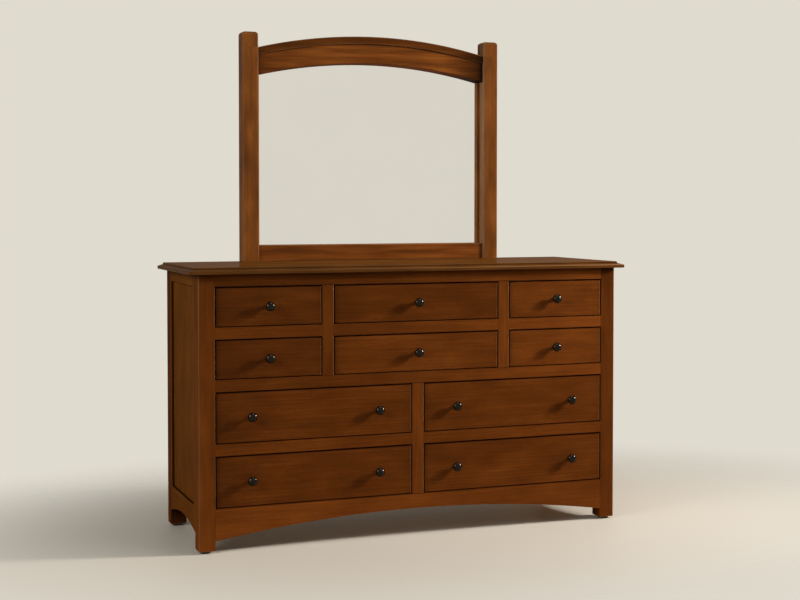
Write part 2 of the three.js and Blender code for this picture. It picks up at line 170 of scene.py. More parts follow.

# Values of a board's four edges, in the order that square() gives: paler above zero, darker below. The dark
# ones are painted shade along gaps and openings, the pale ones on the stiles' right edges and the fronts'
# right ends are painted highlights, and the apron's lower edge is rubbed. The rails' own are shares of a
# painted shade.
RAIL_GAP_SHADE = (0, 0, 0.6, 1)
STILE_HIGHLIGHT_AND_SHADE = (1.8, 0, 0, -0.9)
APRON_WEAR_AND_SHADE = (0, 0, -0.9, 0.3)
FRONT_GAP_SHADE = (-0.9, -0.9, -1.0, -0.6)
FRONT_END_SHADE_AND_HIGHLIGHT = (-0.95, 1.3)
# Linear colour of painted shade, laid beside joints, gaps and edges and over the shaded parts of boards
PAINTED_SHADE = (0.008, 0.003, 0.001)

# How dark a board is made over part of its length, and over what length in metres. The legs' upper part is in
# painted shade under the top, the fronts hold painted shade beside their gaps and towards their ends, the
# mirror rail's right end holds the painted shadow of the right post, and the line beneath the cap is painted
# shade. The apron is darker towards the right, the cap over its right half, and the mirror rail towards its
# left.
LEG_PAINTED_SHADE = (-0.3, 0.2)
APRON_DARKENING = (-0.14, 0.4)
FRONT_LEFT_LINE = (-0.3, 0.018)
FRONT_LEFT_REACH = 0.12
FRONT_RIGHT_LINE = (-0.22, 0.012)
FRONT_RIGHT_SHADE = (-0.12, 0.04)
MIRROR_RAIL_LEFT = (-0.4, 0.09)
MIRROR_RAIL_POST_SHADOW = (-0.95, 0.17)
MIRROR_RAIL_MIDDLE = (-0.1, 0.25)
CAP_DARKENING = (-0.2, 0.2)
CAP_LINE = (-0.4, 0.35)

# Where the shading of the legs and rails changes, in metres
LEG_FOOT = 0.02
LEG_EASE_STEP = 0.0015
LEG_SHADE_FLOOR = 0.66
LEG_SHADE_PLACE = 0.82
LEG_DARK_PART = (0.35, 0.75)
LEG_FADE = 0.018
BACK_LEG_PLACES = (0.06, 0.72)
RAIL_SHADE_LENGTH = 0.6
RAIL_PLACES = (-0.6, -0.3, -0.1, 0.1, 0.3, 0.5)

# Each leg, rail and front is sawn from a board of its own, some darker and some paler. These tones also hold
# painted light:
# the fronts and stiles to the right are paler, nearer the lamps, and the upper rails are lifted against the
# shade under the top.
# Legs: tone, and which corner of the outline faces outwards
LEGS = {"front_left": (1.36, 3), "front_right": (1.0, 0), "back_left": (1.0, 2), "back_right": (0.95, 1)}
# Rails of the face frame: tone, painted shade towards the left, and the stiles that cross them
RAILS = {
    "face_top_rail": (1.8, -0.18, ()),
    "upper_face_rail": (1.62, -0.34, ("left_face_stile", "right_face_stile")),
    "middle_face_rail": (1.48, -0.34, ()),
    "lower_face_rail": (1.18, 0.0, ("centre_face_stile",)),
}
STILE_TONES = {"left_face_stile": 1.0, "right_face_stile": 1.32, "centre_face_stile": 1.36}
# Drawer fronts: tone, and how dark the painted shade is towards the left end
FRONTS = {
    "top_left": (0.92, 0.3), "top_middle": (0.92, 0.15), "top_right": (1.2, 0.1),
    "second_left": (0.95, 0.3), "second_middle": (1.22, 0.15), "second_right": (1.36, 0.1),
    "third_left": (1.05, 0.3), "third_right": (1.08, 0.1),
    "bottom_left": (1.0, 0.3), "bottom_right": (1.05, 0.1)}

# Lamps: place, what each points at, size, colour, and spread in degrees
LAMPS = (
    ("key", (2.55, -1.0, 1.6), (-0.1, -0.25, 0.7), (0.7, 0.8), (1.0, 0.96, 0.92), 180),
    ("far", (4.7, -1.55, 2.55), (-0.1, -0.25, 1.0), (0.6, 0.6), (1.0, 0.96, 0.92), 60),
    ("overhead", (0.6, -0.9, 3.3), (0.1, -0.1, 0.6), (1.6, 0.8), (0.98, 1.0, 0.98), 180),
    ("left", (-3.0, -1.3, 1.9), (-0.4, 0, 0.8), (1.4, 1.4), (0.97, 1.0, 1.0), 180),
)
CAMERA_PLACE = (-1.8455, -4.8908, 1.1757)
CAMERA_TURN = -20.963
CAMERA_DOWN = 1.906
CAMERA_SHIFT = -0.06
SENSOR_WIDTH = 36
FLOOR_RADIUS = 9.0


def linear(code):
    """An sRGB hex colour as the linear values that shaders use."""
    values = [int(code[i:i + 2], 16) / 255 for i in (0, 2, 4)]
    return tuple(v / 12.92 if v <= 0.04045 else ((v + 0.055) / 1.055) ** 2.4 for v in values)


def length_setting(name, description, default, low, high):
    """A length in metres that the user may change."""
    return FloatProperty(
        name=name, description=description, default=default, min=low, max=high, unit="LENGTH")


def colour_setting(name, description, code):
    """A colour that the user may change, with its default in sRGB hex."""
    return FloatVectorProperty(
        name=name, description=description, default=linear(code), min=0, max=1, size=3, subtype="COLOR")


def power_setting(name, description, watts):
    """The power of a lamp, in watts."""
    return FloatProperty(
        name=name, description=description, default=watts, min=0, max=2000, subtype="POWER")


class DresserEdges(bpy.types.PropertyGroup):
    """Roundings of the wood's edges."""

    leg_arris: length_setting("Leg arris", "Rounding of the legs' outer front edges", 0.005, 0.0005, 0.02)
    frame_ease: length_setting(
        "Frame ease", "Rounding where the face frame meets an opening", 0.0016, 0.0002, 0.005)
    front_ease: length_setting("Drawer front ease", "Rounding round each drawer front", 0.0024, 0.0002, 0.006)
    post_arris: length_setting("Post arris", "Rounding of the mirror posts' edges", 0.0045, 0.0005, 0.012)
    rail_ease: length_setting(
        "Mirror rail ease", "Rounding of the mirror's rails and cap", 0.0025, 0.0002, 0.008)
    top_ease: length_setting("Top edge ease", "Rounding of the top's thin edge", 0.002, 0.0002, 0.005)


class DresserColours(bpy.types.PropertyGroup):
    """Colours of the finishes."""

    stain_dark: colour_setting("Stain, dark", "Stained wood in its darkest grain", "40200a")
    stain_middle: colour_setting("Stain, middle", "Stained wood over most of a board", "5f300e")
    stain_light: colour_setting("Stain, light", "Stained wood in its palest grain", "7c4317")
    # Also the colour of the painted highlights on edges that face the lamps
    worn_and_highlight: colour_setting("Stain, worn edge", "Stained wood where an edge is rubbed", "96704f")
    bare_wood: colour_setting("Bare wood", "Waxed maple of the drawer boxes", "c9a06c")
    plywood: colour_setting("Plywood", "Thinly stained plywood of the backs and drawer bottoms", "a97a48")
    bronze: colour_setting("Bronze", "Oil rubbed bronze of the knobs", "1b150c")
    silver: colour_setting("Silvering", "Tint of the mirror's silvering", "f6f6f5")


class DresserStage(bpy.types.PropertyGroup):
    """Camera, lights and floor."""

    lens: FloatProperty(
        name="Lens", description="Focal length of the camera in millimetres",
        default=63.61, min=20, max=200)
    key: power_setting("Key light", "Power of the small lamp to the right, in watts", 40)
    far: power_setting("Far light", "Power of the lamp further to the right, in watts", 34)
    overhead: power_setting("Overhead light", "Power of the soft lamp above the front, in watts", 20)
    left: power_setting("Left light", "Power of the soft lamp to the left, in watts", 48)
    sky: FloatProperty(
        name="Room light", description="Strength of the even light from all round",
        default=0.09, min=0, max=5)
    floor: colour_setting("Floor", "Colour of the plain floor", "cdc4b6")
    backdrop: colour_setting("Backdrop", "Colour behind the dresser and in its mirror", "e0dbcf")


def feed(tree, node, inputs):
    """Fills a node's inputs. Each is a value, a socket or a node to link, or a list of nodes."""
    for key, given in inputs.items():
        for value in given if isinstance(given, list) else [given]:
            if isinstance(value, bpy.types.Node):
                value = value.outputs[0]
            if isinstance(value, bpy.types.NodeSocket):
                tree.links.new(value, node.inputs[key])
            else:
                node.inputs[key].default_value = value


def add(tree, kind, inputs=None, stops=(), **settings):
    """Adds a node with its settings and links. A ramp's stops are (place, linear colour)."""
    made = tree.nodes.new(kind)
    for name, value in settings.items():
        setattr(made, name, value)
    for i, (at, colour) in enumerate(stops):
        elements = made.color_ramp.elements
        stop = elements[i] if i < len(elements) else elements.new(at)
        stop.position, stop.color = at, rgba(colour)
    feed(tree, made, inputs or {})
    return made


def rgba(colour):
    return (*colour, 1.0)


def new_material(name):
    """An empty node material and the Principled shader that it shows."""
    material = bpy.data.materials.new(name)
    material.use_nodes = True
    tree = material.node_tree
    tree.nodes.clear()
    shader = add(tree, "ShaderNodeBsdfPrincipled")
    add(tree, "ShaderNodeOutputMaterial", {"Surface": shader.outputs["BSDF"]})
    return material, tree, shader


def noise(tree, place, along, across, detail=2.0, rough=0.5):
    """Noise whose features are about `along` by `across`, in metres, with the grain on X."""
    scaled = add(tree, "ShaderNodeMapping", {
        "Vector": place, "Scale": (1 / along, 1 / across, 1 / across)})
    return add(tree, "ShaderNodeTexNoise", {
        "Vector": scaled, "Scale": 1.0, "Detail": detail, "Roughness": rough})


def cloud(tree, size, detail=2.0):
    """Even noise on the piece's own coordinates, with features about `size` across, in metres."""
    place = add(tree, "ShaderNodeTexCoord").outputs["Object"]
    return noise(tree, place, size, size, detail)


def mixed(tree, parts, base):
    """Base plus each (socket, weight), as one chain of multiply and add."""
    total = base
    for socket, weight in parts:
        total = add(tree, "ShaderNodeMath", {0: socket, 1: weight, 2: total},
                    operation="MULTIPLY_ADD")
    return total


def wood_pattern(tree, place, ring_width, blotches=(0.16, 0.055)):
    """The figure of a sawn board: blotches of the stain, streaks, fibres, and growth rings.

    Rings circle the tree's middle, which lies off the board, so end grain shows arcs and faces
    show long lines. Fibres are really 0.2 mm wide and are drawn at 1 mm so that they show."""
    blotch = noise(tree, place, *blotches, 2.0)
    streak = noise(tree, place, 0.22, 0.006, 4.0, 0.6)
    fibre = noise(tree, place, 0.05, 0.001, 2.0)
    long_way = add(tree, "ShaderNodeMapping", {"Vector": place, "Scale": (0.12, 1, 1)})
    rings = add(tree, "ShaderNodeTexWave", {
        "Vector": long_way, "Scale": 0.314 / ring_width, "Distortion": 9.0,
        "Detail": 2.0, "Detail Scale": 14.0, "Detail Roughness": 0.5},
        wave_type="RINGS", rings_direction="X", wave_profile="SIN").outputs["Fac"]
    return blotch, streak, fibre, rings


def weighed(tree, pattern, weights):
    """The parts of a wood's figure, each by its weight, so that their middle stays one half."""
    return mixed(tree, zip(pattern, weights), 0.5 - sum(weights) / 2)


def stained_wood(name, coat, coat_rough, blotchy, ring_width=0.005, planks=0.0, tint=(1, 1, 1), **figure):
    """Maple with a reddish brown stain under a sprayed satin lacquer.

    The stain takes unevenly, so the colour is blotched and streaked. The lacquer fills the
    grain, so highlights are smooth and soft. Edges are paler where rubbed and where a highlight is painted,
    the wood is darker where painted shade lies, and a tint may add a painted sheen. A top of
    `planks` this wide is glued up from boards side by side, each with its own figure and tone."""
    colours = bpy.context.scene.dresser_colours
    material, tree, shader = new_material(name)
    place = add(tree, "ShaderNodeAttribute", attribute_name="grain").outputs["Vector"]
    tone = add(tree, "ShaderNodeAttribute", attribute_name="tone").outputs["Fac"]
    wear = add(tree, "ShaderNodeAttribute", attribute_name="wear").outputs["Fac"]
    if planks:
        axes = add(tree, "ShaderNodeSeparateXYZ", {0: place})
        strip = add(tree, "ShaderNodeMath", {0: axes.outputs["Y"], 1: planks}, operation="DIVIDE")
        strip = add(tree, "ShaderNodeMath", {0: strip}, operation="FLOOR")
        own = add(tree, "ShaderNodeTexWhiteNoise", {"W": strip}, noise_dimensions="1D")
        place = add(tree, "ShaderNodeVectorMath", {
            0: own.outputs["Color"], 1: (0.5, 0.3, 0.1), 2: place}, operation="MULTIPLY_ADD")
        tone = mixed(tree, [(own.outputs["Value"], 0.16), (tone, 1.0)], -0.08)
    blotch, streak, fibre, rings = pattern = wood_pattern(tree, place, ring_width, **figure)
    depth = weighed(tree, pattern, (blotchy, 0.4, 0.12, 0.1))
    colour = add(tree, "ShaderNodeValToRGB", {"Fac": depth}, stops=[
        (0.18, colours.stain_dark), (0.5, colours.stain_middle), (0.84, colours.stain_light)])
    if tint != (1, 1, 1):
        colour = add(tree, "ShaderNodeVectorMath", {0: colour, 1: tint}, operation="MULTIPLY")
    colour = add(tree, "ShaderNodeVectorMath", {0: colour, "Scale": tone}, operation="SCALE")
    # Below zero the wood is darkened with painted shade in gaps, recesses and shaded parts. Above zero it is
    # paler, from rubbing and from painted highlights on edges that face the lamps.
    painted_shade = add(tree, "ShaderNodeMath", {0: wear, 1: -1.0}, operation="MULTIPLY", use_clamp=True)
    rubbed = add(tree, "ShaderNodeMath", {0: wear, 1: streak}, operation="MULTIPLY")
    for factor, over in ((painted_shade, rgba(PAINTED_SHADE)), (rubbed, rgba(colours.worn_and_highlight))):
        colour = add(tree, "ShaderNodeMix", {
            "Factor": factor, "A": colour, "B": over}, data_type="RGBA").outputs["Result"]
    height = mixed(tree, [(fibre, 0.5), (rings, 0.5)], 0.0)
    bump = add(tree, "ShaderNodeBump", {"Height": height, "Strength": 0.25, "Distance": 0.0002})
    # The stain lies under the lacquer, which alone shines.
    feed(tree, shader, {
        "Base Color": colour, "Roughness": mixed(tree, [(blotch, 0.16)], 0.42), "Normal": bump,
        "Specular IOR Level": 0.0, "Coat Weight": coat, "Coat Roughness": coat_rough})
    return material


def plain_wood(name, colour, rough, ring_width, contrast):
    """Bare maple or plywood, sanded and waxed: pale, low in contrast, and matt."""
    material, tree, shader = new_material(name)
    place = add(tree, "ShaderNodeAttribute", attribute_name="grain").outputs["Vector"]
    tone = add(tree, "ShaderNodeAttribute", attribute_name="tone").outputs["Fac"]
    _, streak, fibre, _ = pattern = wood_pattern(tree, place, ring_width)
    figure = weighed(tree, pattern, (0.5, 0.9, 0.4, 0.35))
    dark = [c * (1 - contrast) for c in colour]
    light = [min(c * (1 + contrast), 1) for c in colour]
    shade = add(tree, "ShaderNodeValToRGB", {"Fac": figure}, stops=[
        (0.15, dark), (0.5, colour), (0.85, light)])
    shade = add(tree, "ShaderNodeVectorMath", {0: shade, "Scale": tone}, operation="SCALE")
    bump = add(tree, "ShaderNodeBump", {"Height": fibre, "Strength": 0.35, "Distance": 0.0002})
    feed(tree, shader, {
        "Base Color": shade, "Roughness": mixed(tree, [(streak, 0.15)], rough), "Normal": bump})
    return material


def end_grain():
    """End grain of the dovetail pins: darker than the faces, dotted with cut fibres 0.5 mm apart."""
    material, tree, shader = new_material("maple_end_grain")
    place = add(tree, "ShaderNodeTexCoord").outputs["Object"]
    bands = noise(tree, place, 0.02, 0.003)
    figure = mixed(tree, [(cloud(tree, 0.0005), 0.5), (bands, 0.8)], -0.15)
    colour = bpy.context.scene.dresser_colours.bare_wood
    shade = add(tree, "ShaderNodeValToRGB", {"Fac": figure}, stops=[
        (0.2, [c * 0.38 for c in colour]), (0.8, [c * 0.62 for c in colour])])
    feed(tree, shader, {"Base Color": shade, "Roughness": 0.7})
    return material


def oil_rubbed_bronze():
    """Bronze, chemically darkened and waxed: near black and glossy, browner where hands rub its rim."""
    material, tree, shader = new_material("oil_rubbed_bronze")
    wear = add(tree, "ShaderNodeAttribute", attribute_name="wear").outputs["Fac"]
    patina = cloud(tree, 0.004, 3.0)
    rub = add(tree, "ShaderNodeMath", {0: wear, 1: patina}, operation="MULTIPLY")
    shade = add(tree, "ShaderNodeMix", {
        "Factor": rub, "A": rgba(bpy.context.scene.dresser_colours.bronze),
        "B": rgba(linear("4a382a"))}, data_type="RGBA")
    feed(tree, shader, {
        "Base Color": shade.outputs["Result"], "Roughness": mixed(tree, [(patina, 0.1)], 0.08),
        "Metallic": 1.0, "Coat Weight": 0.22, "Coat Roughness": 0.16})
    return material


def silvered_glass():
    """Float glass silvered on its back: a clear mirror, with a faint bloom that dulls it unevenly."""
    material, tree, shader = new_material("silvered_glass")
    silver = bpy.context.scene.dresser_colours.silver
    shade = add(tree, "ShaderNodeValToRGB", {"Fac": cloud(tree, 0.25)}, stops=[
        (0.3, [c * 0.985 for c in silver]), (0.7, silver)])
    feed(tree, shader, {"Base Color": shade, "Metallic": 1.0, "Roughness": 0.02})
    return material


def zinc_plated_steel():
    """Steel screws with bright zinc plating: pale grey, slightly mottled, and satin."""
    material, tree, shader = new_material("zinc_plated_steel")
    mottle = cloud(tree, 0.002)
    shade = add(tree, "ShaderNodeValToRGB", {"Fac": mottle}, stops=[
        (0.3, linear("9a978e")), (0.7, linear("c4c2ba"))])
    feed(tree, shader, {
        "Base Color": shade, "Roughness": mixed(tree, [(mottle, 0.2)], 0.28), "Metallic": 1.0})
    return material


def black_recess():
    """The recess in a screw's head, painted dark for the shadow it holds and its old wax."""
    material, tree, shader = new_material("screw_recess")
    shade = add(tree, "ShaderNodeValToRGB", {"Fac": cloud(tree, 0.001)}, stops=[
        (0.3, linear("15130f")), (0.7, linear("2a261f"))])
    feed(tree, shader, {"Base Color": shade, "Roughness": 0.6})
    return material


def nylon_glide():
    """Moulded dark nylon of the glides under the legs: fine pebbled skin and scuffs."""
    material, tree, shader = new_material("moulded_nylon")
    shade = add(tree, "ShaderNodeValToRGB", {"Fac": cloud(tree, 0.01, 3.0)}, stops=[
        (0.35, linear("1d1713")), (0.75, linear("3a3029"))])
    bump = add(tree, "ShaderNodeBump", {
        "Height": cloud(tree, 0.0006), "Strength": 0.4, "Distance": 0.0001})
    feed(tree, shader, {"Base Color": shade, "Roughness": 0.55, "Normal": bump})
    return material


FINISHES = {
    # Legs, face frame and apron: an even red brown, nearly matt
    "case_wood": lambda: stained_wood("stained_maple", 0.02, 0.2, 0.4),
    # Sides: a little less red, and the dullest
    "side_wood": lambda: stained_wood("stained_maple_sides", 0.015, 0.25, 0.4, tint=(1.0, 1.16, 1.0)),
    # Drawer fronts: wider rings, and slightly stronger blotches
    "front_wood": lambda: stained_wood("stained_maple_fronts", 0.03, 0.2, 0.45, 0.007),
    # Top: planks glued side by side, with a soft shine; its browner, greyer tint is partly painted reflection
    # of the pale room
    "top_wood": lambda: stained_wood(
        "stained_maple_top", 0.08, 0.15, 0.45, 0.006, planks=0.105, tint=(0.85, 1.14, 1.35)),
    # Mirror posts and lips: strong blotches and a soft shine; their paler, yellower tint is partly the wood's
    # own and partly painted sheen of reflected light
    "post_wood": lambda: stained_wood("stained_maple_posts", 0.09, 0.22, 0.9, tint=(1.05, 1.25, 1.6)),
    # Mirror rails and cap: long, strong streaks, and a paler, greyer tint that is partly painted sheen of
    # reflected light
    "rail_wood": lambda: stained_wood(
        "stained_maple_mirror_rails", 0.05, 0.2, 0.9, tint=(1.04, 1.12, 1.3), blotches=(0.24, 0.02)),
    # Drawer boxes, dust boards, the back's top rail and battens: pale and matt, with fine rings
    "bare_wood": lambda: plain_wood(
        "waxed_maple", bpy.context.scene.dresser_colours.bare_wood, 0.5, 0.004, 0.22),
    # Backs and drawer bottoms: pale brown and matt, with broad figure
    "plywood": lambda: plain_wood(
        "plywood", bpy.context.scene.dresser_colours.plywood, 0.55, 0.012, 0.25),
    "end_grain": end_grain,
    "bronze": oil_rubbed_bronze,
    "silver": silvered_glass,
    "steel": zinc_plated_steel,
    "recess": black_recess,
    "nylon": nylon_glide,
}
made_finishes = {}


def finish(name):
    """The material of that finish, made when it is first wanted."""
    if name not in made_finishes:
        made_finishes[name] = FINISHES[name]()
    return made_finishes[name]


def share(reach, length):
    """Reach as a part of a length, held between 0 and 1."""
    return min(max(reach / length, 0), 1)


def fading(away, depth, length):
    """Stain that is deepest at a place and gone at that length away from it."""
    return depth * (1 - share(away, length))


def growing(past, depth, length):
    """Stain that begins at a place and has its full depth that length past it."""
    return depth * share(past, length)


def mid(span):
    return (span[0] + span[1]) / 2


def ordered(*ends):
    """A span with its low end first."""
    return tuple(sorted(ends))


def quarter(steps=ROUND_STEPS):
    """The cosine and sine of each step round a quarter turn."""
    turns = [math.pi / 2 * step / steps for step in range(steps + 1)]
    return [(math.cos(turn), math.sin(turn)) for turn in turns]


def edge_ways(corners):
    """The directions of the edges that reach and leave each corner of an outline."""
    for i, (a, b, *_) in enumerate(corners):
        before, after = corners[i - 1], corners[(i + 1) % len(corners)]
        yield (Vector((a - before[0], b - before[1])).normalized(),
               Vector((after[0] - a, after[1] - b)).normalized())


def rounded(corners):
    """Points along an outline of square corners (a, b, radius), and each point's value of rubbing and painted
    light.

    A corner may go on with its own value, paler above zero from rubbing and painted highlights, darker below
    zero with painted shade, and with the values where its rounding starts and where it ends. A corner of no
    radius is a single point."""
    points = []
    for (a, b, radius, *own), (before, after) in zip(corners, edge_ways(corners)):
        worn, first, last = (*own, *(1.0, 0.0, 0.0)[len(own):])
        if not radius:
            points.append((a, b, worn))
            continue
        centre = Vector((a, b)) - before * radius + after * radius
        for (cosine, sine), wear in zip(quarter(), (first, *[worn] * (ROUND_STEPS - 1), last)):
            point = centre - after * radius * cosine + before * radius * sine
            points.append((point.x, point.y, wear))
    return points


def drawn_in(corners, inset):
    """An outline moved in by inset on all its sides, for a board's rounded end."""
    moved = []
    for (a, b, radius, *own), (before, after) in zip(corners, edge_ways(corners)):
        inward = (Vector((-before.y, before.x)) + Vector((-after.y, after.x))) * inset
        if not radius:
            inward /= 2
        moved.append((a + inward.x, b + inward.y, max(radius - inset, SHARP) if radius else 0, *own))
    return moved


def square(a, b, eases, wears_and_painted_light=(1.0,) * 4):
    """A rectangle's corners in order, with eases for (high a, low b) and round to (low a, low b)."""
    places = ((a[1], b[0]), (a[1], b[1]), (a[0], b[1]), (a[0], b[0]))
    return [(*place, ease, wear) for place, ease, wear in zip(places, eases, wears_and_painted_light)]


def arch(half, low, high, at):
    """Height of a circular arch that spans twice `half`, at a place measured from its middle."""
    radius = (half * half + (high - low) ** 2) / (2 * (high - low))
    return high - radius + math.sqrt(radius * radius - at * at)


def steps_between(start, end, count):
    return [start + (end - start) * i / count for i in range(count + 1)]


def curve_places(half):
    """Where a board with an arched edge needs an outline, between its two ends."""
    return steps_between(-half, half, CURVE_STEPS)[1:-1]


def add_object(name, data):
    """A new object in the scene."""
    made = bpy.data.objects.new(name, data)
    bpy.context.scene.collection.objects.link(made)
    return made


def apply_modifiers(made):
    """Swaps an object's mesh for a plain one that holds what its modifiers give."""
    before = made.data
    made.data = bpy.data.meshes.new_from_object(
        made.evaluated_get(bpy.context.evaluated_depsgraph_get()))
    made.modifiers.clear()
    bpy.data.meshes.remove(before)
    made.data.name = made.name


def register_piece(made, body, nodes=()):
    """Hands a finished object to the frame: its body, and the solids that it stands for."""
    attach(made, body)
    if nodes:
        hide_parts(*nodes)


class Piece:
    """A piece in the making. Its points carry their place in the tree, their board's tone, which also holds
    painted light, and their rubbing, painted highlights and painted shade.
    """

    def __init__(self, name, shade=1.0):
        self.name = name
        self.shade = shade
        self.bm = bmesh.new()
        self.grain = self.bm.verts.layers.float_vector.new("grain")
        self.tone = self.bm.verts.layers.float.new("tone")
        self.wear = self.bm.verts.layers.float.new("wear")
        self.random = random.Random(name)

    def shell(self, rings, grain_axis, tone=None):
        """Joins rings of (point, wear) into a closed shell. They turn anticlockwise, seen from the last."""
        draw = self.random
        values = zip(*(point for ring in rings for point, _ in ring))
        middle = [(min(along) + max(along)) / 2 for along in values]
        off = [draw.uniform(-TREE_REACH, TREE_REACH)]
        off += [draw.choice((-1, 1)) * draw.uniform(*reach) for reach in HEART_OFFSETS]
        shade = self.shade * (draw.uniform(*TONE_SPREAD) if tone is None else tone)
        order = [(grain_axis + i) % 3 for i in range(3)]
        made = []
        for ring in rings:
            made.append([])
            for point, wear in ring:
                vert = self.bm.verts.new(point)
                vert[self.grain] = [point[k] - middle[k] + off[i] for i, k in enumerate(order)]
                vert[self.tone], vert[self.wear] = shade, wear
                made[-1].append(vert)
        for low, high in zip(made, made[1:]):
            for i in range(len(low)):
                after = (i + 1) % len(low)
                self.bm.faces.new((low[i], low[after], high[after], high[i]))
        self.bm.faces.new(made[0][::-1])
        self.bm.faces.new(made[-1])

    def board(self, axis, spans, ease, ends=(0, 0), section=None, places=(), grain=None, tone=None,
              worn=1.0, end_wear_and_painted_light=None, stain=None):
        """A board along an axis. `spans` are its X, Y and Z ranges, `ease` rounds its long edges,
        `ends` rounds its two ends, and `section` gives its outline's corners where they differ.
        Its edges and its two ends are paler where `worn` and the ends' own values are above zero, from
        rubbing and from painted highlights, and darker below zero with painted shade. `stain` gives how dark
        its faces are at a place, from 0 down to -1, mostly as painted shade."""
        along = "xyz".index(axis)
        a, b = (along + 1) % 3, (along + 2) % 3
        halves = []
        for reach, origin, way, rub in zip(ends, spans[along], (1, -1), end_wear_and_painted_light or (worn, worn)):
            halves.append([
                (origin + way * reach * (1 - cosine), reach * (1 - sine), rub * (0 < step < ROUND_STEPS))
                for step, (cosine, sine) in enumerate(quarter())] if reach else [(origin, 0.0, 0.0)])
        rings = []
        for at, inset, on_end in halves[0] + [(place, 0.0, 0.0) for place in places] + halves[1][::-1]:
            corners = section(at) if section else square(spans[a], spans[b], [ease] * 4)
            if inset:
                corners = drawn_in(corners, inset)
            dark = stain(at) if stain else 0.0
            rings.append([])
            for pa, pb, on_edge in rounded(corners):
                point = [0.0, 0.0, 0.0]
                point[along], point[a], point[b] = at, pa, pb
                rub = on_end or worn * on_edge
                rings[-1].append((point, rub if rub > 0 else min(rub, dark)))
        self.shell(rings, "xyz".index(grain or axis), tone)

    def turned(self, centre, axis, profile, segments):
        """A turned shell about an axis through centre, from (radius, height, wear) up its profile."""
        along = "xyz".index(axis)
        rings = []
        for radius, height, worn in profile:
            rings.append([])
            for i in range(segments):
                turn = 2 * math.pi * i / segments
                point = list(centre)
                point[along] += height
                point[(along + 1) % 3] += radius * math.cos(turn)
                point[(along + 2) % 3] += radius * math.sin(turn)
                rings[-1].append((point, worn))
        self.shell(rings, along, 1.0)

    def done(self, body, material, node, sharp=50):
        """Makes the object, weights its normals to its flat faces, and hands it to the frame."""
        mesh = bpy.data.meshes.new(self.name)
        self.bm.to_mesh(mesh)
        self.bm.free()
        mesh.materials.append(finish(material))
        mesh.shade_smooth()
        mesh.set_sharp_from_angle(angle=math.radians(sharp))
        made = add_object(self.name, mesh)
        made.modifiers.new("flat faces", "WEIGHTED_NORMAL").keep_sharp = True
        apply_modifiers(made)
        register_piece(made, body, (node,))


def spans_of(node):
    """A solid's X, Y and Z ranges."""
    return list(zip(*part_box(node)))


def leg_inside():
    """How far from the middle the front boards reach, just short of the legs."""
    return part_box("front_right_leg")[0].x - JOINT_GAP


def leg_section(at, leg, x, y, rails, arris):
    """A leg's corners at a height, from the right front one round to the left front one.

    The outer corner is rubbed pale, with a painted highlight. Painted shade lies along the others, and fades
    across the face beside the drawers; the front left leg's inner corner holds a painted highlight, and the
    back legs' fronts are in painted shade. Edges are sharp where a rail meets them."""
    outer = LEGS[leg][1]
    joined = any(low - SHARP < at < high + SHARP for low, high in rails)
    eases, wears_and_painted_light = [SHARP if joined else LEG_EASE] * 4, [0.0 if joined else -0.8] * 4
    eases[outer], wears_and_painted_light[outer] = arris, 0.6
    corners = square(x, y, eases, wears_and_painted_light)
    if leg.startswith("back"):
        # The back legs' front faces are painted dark, as in the case's shade.
        dark = -0.45 if at < LEG_FOOT else -0.88
        return [(*corners[0], dark, 0.0), *corners[1:3], (*corners[3], 0.0, dark)]
    inner, shade = 3 - outer, -0.1 if joined else -0.24
    if leg.endswith("right"):
        corners[inner] = (*corners[inner], 0.0, shade)
        return [*corners, (x[0] + LEG_FADE, y[0], 0, 0.0)]
    # The left leg's inner corner faces the lamps and holds a painted highlight.
    corners[inner] = (*corners[inner][:3], 0.0 if joined else 1.2, shade, 0.0)
    low, high = LEG_DARK_PART
    return [*corners, (x[1] - LEG_FADE, y[0], 0, -0.14 if low < at < high else 0.0)]


class DRESSER_OT_legs(bpy.types.Operator):
    """Make the four legs and the glides under them"""

    bl_idname = "dresser.legs"
    bl_label = "Legs"

    def execute(self, context):
        arris = context.scene.dresser_edges.leg_arris
        rails = [(0.0, spans_of("front_apron")[2][1])] + [spans_of(rail)[2] for rail in reversed(RAILS)]
        places = [LEG_SHADE_FLOOR, LEG_SHADE_PLACE]
        for (_, under), (over, _) in zip(rails, rails[1:]):
            places += [under, under + LEG_EASE_STEP, over - LEG_EASE_STEP, over]
        for leg, (tone, _) in LEGS.items():
            node = leg + "_leg"
            x, y, z = spans_of(node)
            post = Piece(node + "_post", tone)
            post.board("z", (x, y, (GLIDE_HEIGHT, z[1])), BOARD_EASE, ends=(LEG_FOOT_EASE, 0), tone=1.0,
                       section=lambda at: leg_section(at, leg, x, y, rails, arris),
                       # Painted shade under the top darkens the leg's upper part.
                       stain=lambda at: growing(at - LEG_SHADE_FLOOR, *LEG_PAINTED_SHADE),
                       places=sorted(places) if leg.startswith("front") else BACK_LEG_PLACES)
            post.done(CASE, "case_wood", node)
            glide = Piece(node + "_glide")
            glide.turned((mid(x), mid(y), 0), "z", [
                (GLIDE_RADIUS - 3 * MM, 0, 0), (GLIDE_RADIUS - MM, 0.8 * MM, 1),
                (GLIDE_RADIUS, 3 * MM, 0), (GLIDE_RADIUS, GLIDE_HEIGHT + 0.2 * MM, 0)], GLIDE_SIDES)
            glide.done(CASE, "nylon", node)
        return {"FINISHED"}


